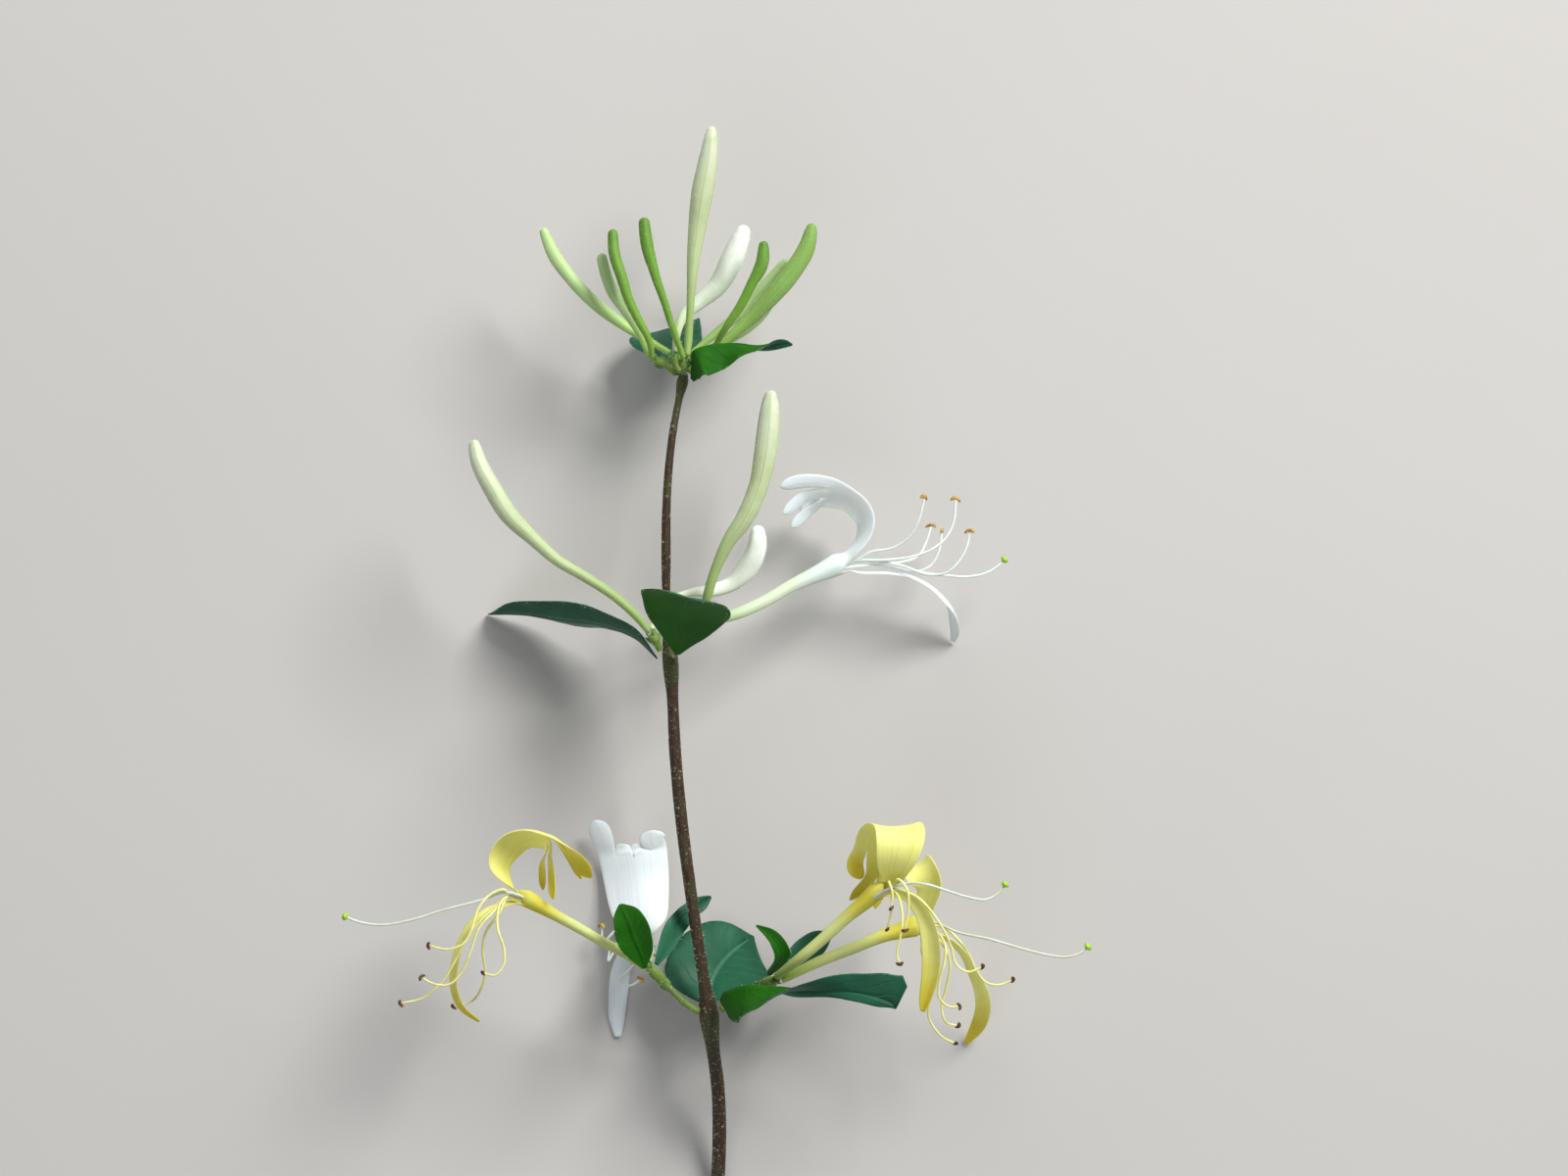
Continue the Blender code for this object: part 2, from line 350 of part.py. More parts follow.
        "seat": ("branchlet_low_right", (0.3, -0.6, -0.7)),
        "tube": (
            (17.9, -48.4, 21.4, 0.85), (23.8, -46.1, 21.0, 0.92), (28.5, -44.2, 20.0, 1.05),
            (31.6, -43.3, 19.5, 1.3),
            (34.1, -42.5, 19.0, 1.8)),
        "upper": (
            (35.1, -40.8, 19.8, 1.6), (36.0, -39.0, 20.6, 2.0), (36.7, -37.0, 21.4, 2.2),
            (36.7, -35.0, 22.2, 2.6), (35.9, -33.4, 22.4, 2.9), (34.7, -32.2, 21.6, 3.0),
            (33.9, -31.8, 19.8, 3.0)),
        "upper_across": ((0.6, -0.6, 0.4), (0.9, 0.3, 0.3), (0.95, 0.3, 0.1)),
        "upper_curl": -0.3,
        "lobes": (
            ((36.2, -32.0, 17.2), (36.4, -33.0, 14.6)), ((34.6, -31.8, 16.8), (34.6, -32.6, 14.0)),
            ((33.0, -31.9, 16.8), (32.8, -32.6, 14.0)), ((31.4, -32.4, 17.2), (30.8, -33.2, 14.8))),
        "lobe_across": (0.95, 0.2, 0.1),
        "lobe_widths": (0.8, 0.8, 0.8, 0.8),
        "lower": (
            (35.5, -43.6, 18.3, 0.6), (37.4, -43.7, 18.0, 0.6), (40.1, -44.7, 17.3, 0.7),
            (42.5, -46.8, 16.0, 0.9),
            (44.5, -50.3, 13.5, 1.1), (46.1, -54.2, 10.0, 1.3), (46.4, -57.4, 6.5, 1.4),
            (45.6, -60.5, 3.0, 1.3),
            (43.4, -63.9, 0.45, 0.4)),
        "lower_across": ((0.2, 0.5, 0.8), (0.8, 0.4, 0.4), (0.9, -0.3, 0.3)),
        "threads": (
            ((37.2, -45.2, 22.4), (36.4, -48.6, 25.0), (35.4, -46.6, 27.0), (35.4, -43.2, 27.6)),
            ((36.9, -46.6, 17.4), (37.4, -51.7, 15.6), (36.9, -55.8, 14.4), (36.7, -58.1, 13.7),
            (37.8, -60.5, 13.2),
             (39.4, -62.2, 12.7), (41.3, -63.1, 12.2)),
            ((38.2, -43.4, 21.6), (39.5, -45.7, 22.6), (39.4, -48.5, 23.4), (38.4, -52.3, 23.0),
            (38.6, -55.0, 22.5),
             (40.6, -56.4, 22.0), (41.8, -56.3, 22.0)),
            ((38.4, -44.6, 19.4), (39.8, -46.6, 20.2), (40.4, -49.1, 20.0), (39.8, -53.0, 19.2),
            (39.0, -57.0, 18.4),
             (39.8, -59.3, 18.0), (41.7, -59.8, 17.7)),
            ((38.9, -42.4, 20.6), (41.6, -44.5, 21.4), (43.7, -47.4, 21.2), (44.9, -50.0, 20.2),
            (46.8, -52.3, 19.0),
             (48.8, -52.7, 18.5), (51.2, -51.9, 18.0))),
        "collar": (36.2, -42.4, 20.2),
        "style": (
            (36.9, -41.5, 21.2), (38.6, -42.0, 22.2), (41.2, -43.2, 23.4), (47.2, -44.5, 24.0),
            (51.9, -45.9, 24.0),
            (57.0, -47.2, 24.0), (60.5, -47.6, 24.0), (63.1, -46.8, 24.0), (64.15, -45.9, 24.0)),
    },
}

COLOURS = {
    "stem_bark": (0.12, 0.055, 0.03),
    "stalk_green": (0.2, 0.26, 0.08),
    "leaf_green": (0.05, 0.17, 0.04),
    "bud_green": (0.3, 0.42, 0.12),
    "bud_cream": (0.75, 0.72, 0.42),
    "petal_white": (0.82, 0.84, 0.86),
    "petal_yellow": (0.8, 0.6, 0.22),
    "filament_pale": (0.82, 0.78, 0.5),
    "style_pale": (0.8, 0.84, 0.55),
}
CREAM_BUDS = (
    "bud_top_far_left", "bud_top_centre", "bud_top_white_behind", "bud_top_right_pale",
    "bud_top_right_low", "bud_middle_left", "bud_middle_white_behind", "bud_middle_right",
)
WHITE_FLOWERS = ("flower_middle", "flower_low_white")


def clear_scene():
    """Removes the startup objects."""
    for obj in list(bpy.data.objects):
        bpy.data.objects.remove(obj, do_unlink=True)


def make_materials():
    """One Principled material for each surface of the plant."""
    found = {}
    for name, colour in COLOURS.items():
        material = bpy.data.materials.new(name)
        material.use_nodes = True
        shader = material.node_tree.nodes["Principled BSDF"]
        shader.inputs["Base Color"].default_value = (*colour, 1.0)
        shader.inputs["Roughness"].default_value = 0.6
        material.diffuse_color = (*colour, 1.0)
        found[name] = material
    return found


def route(knots, count):
    """Rows spaced evenly along a smooth curve through the knots, with every column carried along."""
    knots = np.array(knots, float)
    at = np.concatenate([[0.0], np.cumsum(np.linalg.norm(np.diff(knots[:, :3], axis=0), axis=1))])
    slopes = np.gradient(knots, at, axis=0)

    def point(where):
        piece = np.clip(np.searchsorted(at, where, side="right") - 1, 0, len(at) - 2)
        span = (at[piece + 1] - at[piece])[:, None]
        u = ((where - at[piece]) / span[:, 0])[:, None]
        return (
            (2 * u**3 - 3 * u**2 + 1) * knots[piece]
            + (u**3 - 2 * u**2 + u) * span * slopes[piece]
            + (3 * u**2 - 2 * u**3) * knots[piece + 1]
            + (u**3 - u**2) * span * slopes[piece + 1]
        )

    fine_at = np.linspace(0.0, at[-1], 40 * len(at))
    fine = point(fine_at)[:, :3]
    run = np.concatenate([[0.0], np.cumsum(np.linalg.norm(np.diff(fine, axis=0), axis=1))])
    return point(np.interp(np.linspace(0.0, run[-1], count), run, fine_at))


def unit(vectors):
    """The vectors at length one."""
    vectors = np.asarray(vectors, float)
    return vectors / np.linalg.norm(vectors, axis=-1, keepdims=True)


def tangents(points):
    """The direction of travel at each point."""
    return unit(np.gradient(points, axis=0))


def side_vectors(points, across):
    """The direction across the route at each point, square to it, blended from the ones listed."""
    across = np.array(across, float)
    share = np.linspace(0.0, 1.0, len(across))
    here = np.linspace(0.0, 1.0, len(points))
    blended = np.stack([np.interp(here, share, across[:, axis]) for axis in range(3)], axis=1)
    along = tangents(points)
    return unit(blended - along * (blended * along).sum(axis=1, keepdims=True))


def linked(name, data, material, collection):
    """An object of this mesh or curve."""
    data.materials.append(material)
    obj = bpy.data.objects.new(name, data)
    collection.objects.link(obj)
    return obj


def round_nose(rows):
    """The rows with the end of the body drawn in to a round nose."""
    ahead = tangents(rows[:, :3])[-1]
    tip, radius = rows[-1, :3], rows[-1, 3]
    kept = rows[np.linalg.norm(rows[:, :3] - tip, axis=1) > 1.3 * radius]
    nose = []
    for degrees in (0, 35, 60, 80):
        angle = np.radians(degrees)
        place = tip - ahead * radius * (1.0 - np.sin(angle))
        nose.append((*place, radius * np.cos(angle)))
    return np.vstack([kept, nose])


def throat_nose(rows):
    """The rows of a flower's tube with a low dome past its end, which fills the throat."""
    ahead = tangents(rows[:, :3])[-1]
    end, radius = rows[-1, :3], rows[-1, 3]
    dome = []
    for reach, share in ((0.35, 0.8), (0.6, 0.45)):
        dome.append((*(end + ahead * radius * reach), radius * share))
    return np.vstack([rows, dome])


def tube_object(name, rows, sides, material, collection):
    """A round body along rows of points and radii: a bevelled curve with filled caps."""
    curve = bpy.data.curves.new(name, "CURVE")
    curve.dimensions = "3D"
    curve.bevel_depth = MM
    curve.bevel_resolution = sides // 2 - 2
    curve.use_fill_caps = True
    spline = curve.splines.new("POLY")
    spline.points.add(len(rows) - 1)
    for point, row in zip(spline.points, rows):
        point.co = (row[0] * MM, row[1] * MM, row[2] * MM, 1.0)
        point.radius = max(row[3], 0.12)
    return linked(name, curve, material, collection)


def as_mesh_helper(obj, collection):
    """Turns a curve object into a hidden mesh object with its caps welded on, and removes the curve."""
    bpy.context.view_layer.update()
    graph = bpy.context.evaluated_depsgraph_get()
    mesh = bpy.data.meshes.new_from_object(obj.evaluated_get(graph))
    built = bmesh.new()
    built.from_mesh(mesh)
    bmesh.ops.remove_doubles(built, verts=built.verts, dist=0.001 * MM)
    bmesh.ops.recalc_face_normals(built, faces=built.faces)
    built.to_mesh(mesh)
    built.free()
    name = obj.name
    bpy.data.objects.remove(obj, do_unlink=True)
    helper = bpy.data.objects.new(name, mesh)
    collection.objects.link(helper)
    helper.hide_render = True
    helper.display_type = "WIRE"
    return helper


def sheet(knots, across, count, columns, curl=0.0, second=None):
    """Rows of points across a strip, in two halves that leave the route in their own directions.

    The curl is how far the edges of both halves turn up, as a share of the half width.
    """
    rows = route(knots, count)
    points = rows[:, :3]
    first = side_vectors(points, across)
    other = side_vectors(points, second) if second else -first
    normals = np.cross(tangents(points), first)
    half_widths = np.maximum(rows[:, [3, -1]], 0.1)
    grid = np.zeros((count, columns, 3))
    for column, share in enumerate(np.linspace(1.0, -1.0, columns)):
        half = half_widths[:, 0 if share > 0 else 1][:, None]
        direction = first if share > 0 else other
        lift = curl * half * (share * share - 0.3)
        grid[:, column] = points + direction * abs(share) * half + normals * lift
    return grid


def add_grid(built, grid):
    """Adds a grid primitive to a bmesh and moves its vertices to rows of points."""
    rows, columns = grid.shape[:2]
    made = bmesh.ops.create_grid(built, x_segments=columns - 1, y_segments=rows - 1, size=1.0)
    for vertex in made["verts"]:
        column = round((vertex.co.x + 1.0) / 2.0 * (columns - 1))
        row = round((vertex.co.y + 1.0) / 2.0 * (rows - 1))
        vertex.co = Vector(grid[row, column]) * MM


def sheet_object(name, grids, thickness, material, collection):
    """A leaf or a lip: grids welded along their shared edges, then made solid by a Solidify modifier."""
    built = bmesh.new()
    for grid in grids:
        add_grid(built, grid)
    bmesh.ops.remove_doubles(built, verts=built.verts, dist=0.001 * MM)
    bmesh.ops.recalc_face_normals(built, faces=built.faces)
    mesh = bpy.data.meshes.new(name)
    built.to_mesh(mesh)
    built.free()
    obj = linked(name, mesh, material, collection)
    solidify = obj.modifiers.new("thickness", "SOLIDIFY")
    solidify.thickness = thickness * MM
    solidify.offset = 0.0
    solidify.use_even_offset = False
    return obj


def upper_lip_grids(flower, count=10, lobe_rows=7):
    """The grids of an upper lip: a band, and the four lobes that its far end parts into."""
    band = sheet(flower["upper"], flower["upper_across"], count, LIP_COLUMNS, flower["upper_curl"])
    grids = [band]
    end = band[-1]
    ahead = unit(end.mean(axis=0) - band[-2].mean(axis=0))
    cross = -unit(flower["lobe_across"])
    for lobe, (middle, tip) in enumerate(flower["lobes"]):
        base = end[2 * lobe : 2 * lobe + LOBE_COLUMNS]
        narrow = np.linalg.norm(base[-1] - base[0]) / 2
        wide = flower["lobe_widths"][lobe]
        start = base[1]
        line = route((start - ahead * 0.5, start, middle, tip), 4 * lobe_rows)
        begin = int(np.argmin(np.linalg.norm(line - start, axis=1)))
        picks = np.linspace(begin, len(line) - 1, lobe_rows).round().astype(int)
        along = tangents(line)[picks]
        line = line[picks]
        grid = np.zeros((lobe_rows, LOBE_COLUMNS, 3))
        grid[0] = base
        for row in range(1, lobe_rows):
            share = row / (lobe_rows - 1)
            turned = (1.0 - share) * unit(base[-1] - base[0]) + share * cross
            turned = unit(turned - along[row] * (turned @ along[row]))
            width = (narrow + (wide - narrow) * min(1.5 * share, 1.0)) * (1.0 - 0.55 * share**4)
            for column, side in enumerate((-1.0, 0.0, 1.0)):
                grid[row, column] = line[row] + turned * side * width
        grids.append(grid)
    return grids


def seat_point(stalk, side):
    """Where a bud or a tube starts: off the rim of its stalk, to the side given."""
    end = np.array(STALKS[stalk][-1][:3])
    before = np.array(STALKS[stalk][-2][:3])
    forward = unit(end - before)
    side = np.array(side, float)
    side = unit(side - forward * (side @ forward))
    return end + side * SEAT_RADIUS + forward * (JOINT_GAP + 0.35)


def thread_rows(collar_at, thread):
    """The rows of one filament, from the collar to the round end of its anther."""
    points = [collar_at, *[np.array(p) for p in thread]]
    ahead = unit(points[-1] - points[-2])
    filament = FILAMENT_DIAMETER / 2
    anther = ANTHER_DIAMETER / 2
    rows = list(route([(*p, filament) for p in points], 2 + 2 * len(points)))
    rows.append((*(points[-1] + ahead * 0.25), anther * 0.9))
    rows.append((*(points[-1] + ahead * ANTHER_LENGTH * 0.5), anther))
    rows.append((*(points[-1] + ahead * ANTHER_LENGTH * 0.85), anther * 0.8))
    rows.append((*(points[-1] + ahead * ANTHER_LENGTH), anther * 0.4))
    return np.array(rows)


def stamens_object(name, flower, material, collection, helpers):
    """Five filaments with their anthers, joined at a small collar by exact Booleans."""
    collar_at = np.array(flower["collar"])
    built = bmesh.new()
    bmesh.ops.create_uvsphere(built, u_segments=8, v_segments=6, radius=COLLAR_DIAMETER / 2 * MM)
    bmesh.ops.translate(built, verts=built.verts, vec=Vector(collar_at) * MM)
    mesh = bpy.data.meshes.new(name)
    built.to_mesh(mesh)
    built.free()
    collar = linked(name, mesh, material, collection)
    for number, thread in enumerate(flower["threads"]):
        rows = thread_rows(collar_at, thread)
        curve = tube_object(f"{name}_thread_{number}", rows, THREAD_SIDES, material, helpers)
        union = collar.modifiers.new("join", "BOOLEAN")
        union.operation = "UNION"
        union.solver = "EXACT"
        union.object = as_mesh_helper(curve, helpers)
    return collar


def style_rows(points):
    """The rows of a thin style that ends in a round stigma."""
    style = STYLE_DIAMETER / 2
    radius = STIGMA_DIAMETER / 2
    end = np.array(points[-1])
    ahead = unit(end - np.array(points[-2]))
    rows = route([(*p, style) for p in points], 3 * len(points))
    rows = list(rows[np.linalg.norm(rows[:, :3] - end, axis=1) > 1.3 * radius])
    for share in (-0.85, -0.4, 0.0, 0.4, 0.85):
        rows.append((*(end + ahead * radius * share), radius * np.sqrt(1.0 - share * share)))
    return np.array(rows)


def build_flower(name, flower, materials, collection, helpers):
    """The tube, the two lips, the stamens and the style of one open flower."""
    petal = materials["petal_white" if name in WHITE_FLOWERS else "petal_yellow"]
    seat = seat_point(*flower["seat"])
    tube = throat_nose(route(((*seat, 0.6), *flower["tube"]), 12))
    tube_object(f"{name}_tube", tube, BUD_SIDES, petal, collection)
    upper = upper_lip_grids(flower)
    sheet_object(f"{name}_upper_lip", upper, PETAL_THICKNESS, petal, collection)
    lower = sheet(flower["lower"], flower["lower_across"], 14, 3, LOWER_LIP_CURL)
    sheet_object(f"{name}_lower_lip", [lower], PETAL_THICKNESS, petal, collection)
    stamens_object(f"{name}_stamens", flower, materials["filament_pale"], collection, helpers)
    style = style_rows(flower["style"])
    tube_object(f"{name}_style", style, THREAD_SIDES, materials["style_pale"], collection)


def main():
    """Builds every piece of the shoot."""
    clear_scene()
    materials = make_materials()
    plant = bpy.data.collections.new("honeysuckle_shoot")
    helpers = bpy.data.collections.new("helpers")
    helpers.hide_render = True
    bpy.context.scene.collection.children.link(plant)
    bpy.context.scene.collection.children.link(helpers)
    tube_object("main_stem", route(STEM, 50), STEM_SIDES, materials["stem_bark"], plant)
    for name, knots in STALKS.items():
        tube_object(name, route(knots, 9), BUD_SIDES, materials["stalk_green"], plant)
    for name, (stalk, side, knots) in BUDS.items():
        material = materials["bud_cream" if name in CREAM_BUDS else "bud_green"]
        rows = round_nose(route(((*seat_point(stalk, side), 0.5), *knots), 14))
        tube_object(name, rows, BUD_SIDES, material, plant)
    for name, (knots, first, second) in LEAVES.items():
        rows = 14 if name.startswith("leaf") else 9
        columns = 7 if name.startswith("leaf") else 5
        grid = sheet(knots, first, rows, columns, second=second)
        sheet_object(name, [grid], LEAF_THICKNESS, materials["leaf_green"], plant)
    for name, flower in FLOWERS.items():
        build_flower(name, flower, materials, plant, helpers)


main()
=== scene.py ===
"""Visual model of a cut flowering shoot of Japanese honeysuckle, laid on a pale surface.

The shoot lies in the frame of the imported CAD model: +X is to the right, +Y runs along the stem, +Z is
up and the surface is at Z = 0. Lengths are in millimetres until a mesh is made. A route is a smooth
curve through its knots. Each piece is a mesh built round routes and dressed in a procedural finish,
and a Geometry Nodes tree gives the hairy ones a coat of short hairs.
"""

import logging
import math
from dataclasses import dataclass, field
from enum import Enum

import bmesh
import bpy
import numpy as np
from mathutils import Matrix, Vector

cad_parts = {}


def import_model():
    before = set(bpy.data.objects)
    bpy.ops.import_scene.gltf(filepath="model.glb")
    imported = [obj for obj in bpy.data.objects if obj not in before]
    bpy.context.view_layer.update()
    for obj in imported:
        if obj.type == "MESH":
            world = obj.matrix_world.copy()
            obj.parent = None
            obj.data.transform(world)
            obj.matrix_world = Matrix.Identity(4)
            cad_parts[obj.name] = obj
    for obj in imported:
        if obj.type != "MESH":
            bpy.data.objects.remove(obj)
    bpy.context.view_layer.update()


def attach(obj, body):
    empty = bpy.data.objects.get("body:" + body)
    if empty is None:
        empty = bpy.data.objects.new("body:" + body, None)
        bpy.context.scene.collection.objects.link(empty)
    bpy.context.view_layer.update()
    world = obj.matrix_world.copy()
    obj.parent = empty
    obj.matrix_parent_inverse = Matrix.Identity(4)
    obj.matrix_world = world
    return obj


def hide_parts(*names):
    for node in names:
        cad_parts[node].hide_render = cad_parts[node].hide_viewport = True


LOG = logging.getLogger("honeysuckle")
Knots = tuple[tuple[float, ...], ...]
Vector3 = tuple[float, float, float]
Colour = tuple[float, float, float]
Socket = bpy.types.NodeSocket
Value = Socket | float | Colour

MM = 0.001
PLACE_MAP = "place"
HAIR_WEIGHT = "hair_weight"

# Where the tube, and then the band of the upper lip, end on the way along a flower's finish.
TUBE_END = 0.5
BAND_END = 0.8


def unit(vectors: np.ndarray) -> np.ndarray:
    """The vectors at length one."""
    return vectors / np.maximum(np.linalg.norm(vectors, axis=-1, keepdims=True), 1e-9)


def smooth(share: np.ndarray | float) -> np.ndarray | float:
    """A share from 0 to 1, eased at both ends."""
    share = np.clip(share, 0.0, 1.0)
    return share * share * (3.0 - 2.0 * share)


def run_lengths(points: np.ndarray) -> np.ndarray:
    """The way along a chain of points to each of them."""
    return np.concatenate([[0.0], np.cumsum(np.linalg.norm(np.diff(points, axis=0), axis=1))])


def tangents(points: np.ndarray) -> np.ndarray:
    """The direction of travel at each point."""
    return unit(np.gradient(points, axis=0))


@dataclass(frozen=True)
class Route:
    """A smooth curve through knots; columns past the third are carried along it."""

    knots: Knots
    steps_per_knot: int = 60

    def rows(self, count: int) -> np.ndarray:
        """Places along the curve, evenly spaced.

        Args:
            count: how many places.

        Returns:
            A row for each place, with the knots' columns.
        """
        knots = np.array(self.knots, float)
        at = run_lengths(knots[:, :3])
        slopes = np.gradient(knots, at, axis=0)

        def curve(where: np.ndarray) -> np.ndarray:
            """Values of the curve.

            Args:
                where: distances along the chain of knots.

            Returns:
                A row for each distance.
            """
            piece = np.clip(np.searchsorted(at, where, side="right") - 1, 0, len(at) - 2)
            span = (at[piece + 1] - at[piece])[:, None]
            u = ((where - at[piece]) / span[:, 0])[:, None]
            return (
                (2 * u**3 - 3 * u**2 + 1) * knots[piece]
                + (u**3 - 2 * u**2 + u) * span * slopes[piece]
                + (3 * u**2 - 2 * u**3) * knots[piece + 1]
                + (u**3 - u**2) * span * slopes[piece + 1]
            )

        fine_at = np.linspace(0.0, at[-1], self.steps_per_knot * len(at))
        run = run_lengths(curve(fine_at)[:, :3])
        return curve(np.interp(np.linspace(0.0, 1.0, count) * run[-1], run, fine_at))


def side_vectors(points: np.ndarray, across: tuple[Vector3, ...]) -> np.ndarray:
    """The direction across a route at each point, square to it.

    Args:
        points: the points of the route.
        across: directions spread evenly along it, blended between them.

    Returns:
        One unit vector for each point.
    """
    listed = np.array(across, float)
    share = np.linspace(0.0, 1.0, len(listed))
    here = np.linspace(0.0, 1.0, len(points))
    blended = np.stack([np.interp(here, share, listed[:, axis]) for axis in range(3)], axis=1)
    along = tangents(points)
    return unit(blended - along * (blended * along).sum(axis=1, keepdims=True))


def ring_frames(points: np.ndarray) -> tuple[np.ndarray, np.ndarray]:
    """Two directions square to a route at each point, carried along it without twist.

    Args:
        points: the points of the route.

    Returns:
        The two arrays of directions.
    """
    along = tangents(points)
    side = np.array((0.0, 0.0, 1.0)) if abs(along[0][2]) < 0.9 else np.array((1.0, 0.0, 0.0))
    first, second = [], []
    for direction in along:
        side = unit(side - direction * (side @ direction))
        first.append(side)
        second.append(np.cross(direction, side))
    return np.array(first), np.array(second)


def round_rings(
    rows: np.ndarray, sides: int, flutes: float = 0.0, flute_count: int = 5, turn: float = 0.0
) -> np.ndarray:
    """Rings of points round a route.

    Args:
        rows: the route, with the radius as its fourth column.
        sides: points on each ring.
        flutes: how deep the lengthwise grooves are, as a share of the radius.
        flute_count: how many grooves there are.
        turn: the angle of the first point of a ring.

    Returns:
        Rings, points and three coordinates.
    """
    first, second = ring_frames(rows[:, :3])
    angles = turn + np.linspace(0.0, 2 * math.pi, sides, endpoint=False)
    rings = np.zeros((len(rows), sides, 3))
    for index, angle in enumerate(angles):
        spoke = math.cos(angle) * first + math.sin(angle) * second
        flute = 1.0 + flutes * math.cos(flute_count * angle)
        rings[:, index] = rows[:, :3] + spoke * rows[:, 3:4] * flute
    return rings


def round_nose(rows: np.ndarray, steps: int = 8) -> np.ndarray:
    """The route with its last stretch drawn in to a round nose.

    Args:
        rows: the route, with the radius as its fourth column.
        steps: how many rows the nose has.

    Returns:
        The new route, which ends at the same place.
    """
    ahead = tangents(rows[:, :3])[-1]
    tip, radius = rows[-1, :3], rows[-1, 3]
    kept = rows[np.linalg.norm(rows[:, :3] - tip, axis=1) > 1.3 * radius]
    angles = np.linspace(0.0, 1.5, steps)
    places = tip - ahead * radius * (1.0 - np.sin(angles))[:, None]
    return np.vstack([kept, np.column_stack([places, radius * np.cos(angles)])])


def sheet(
    route: Route,
    across: tuple[Vector3, ...],
    count: int,
    columns: int,
    curl: float = 0.0,
    second: tuple[Vector3, ...] | None = None,
) -> np.ndarray:
    """Rows of points across a strip, in two halves that leave the route in their own directions.

    Args:
        route: the middle of the strip; its fourth column is the half width, and its last one that of
            the second half.
        across: the directions of the first half, along the route.
        count: rows along the strip.
        columns: points across it.
        curl: how far the edges turn up, as a share of the half width.
        second: the directions of the second half, or None for the opposite of the first.

    Returns:
        Rows, columns and three coordinates.
    """
    rows = route.rows(count)
    points = rows[:, :3]
    first = side_vectors(points, across)
    other = side_vectors(points, second) if second else -first
    normals = np.cross(tangents(points), first)
    half_widths = np.maximum(rows[:, [3, -1]], 0.05)
    grid = np.zeros((count, columns, 3))
    for column, share in enumerate(np.linspace(1.0, -1.0, columns)):
        half = half_widths[:, 0 if share > 0 else 1][:, None]
        direction = first if share > 0 else other
        lift = curl * half * (share * share - 0.3)
        grid[:, column] = points + direction * abs(share) * half + normals * lift
    return grid


@dataclass(frozen=True)
class Edge:
    """A row of points that a surface grows from, with their numbers and their places in the finish."""

    points: np.ndarray
    indices: list[int]
    us: np.ndarray

    def part(self, start: int, stop: int) -> "Edge":
        """The stretch between two columns."""
        return Edge(self.points[start:stop], self.indices[start:stop], self.us[start:stop])


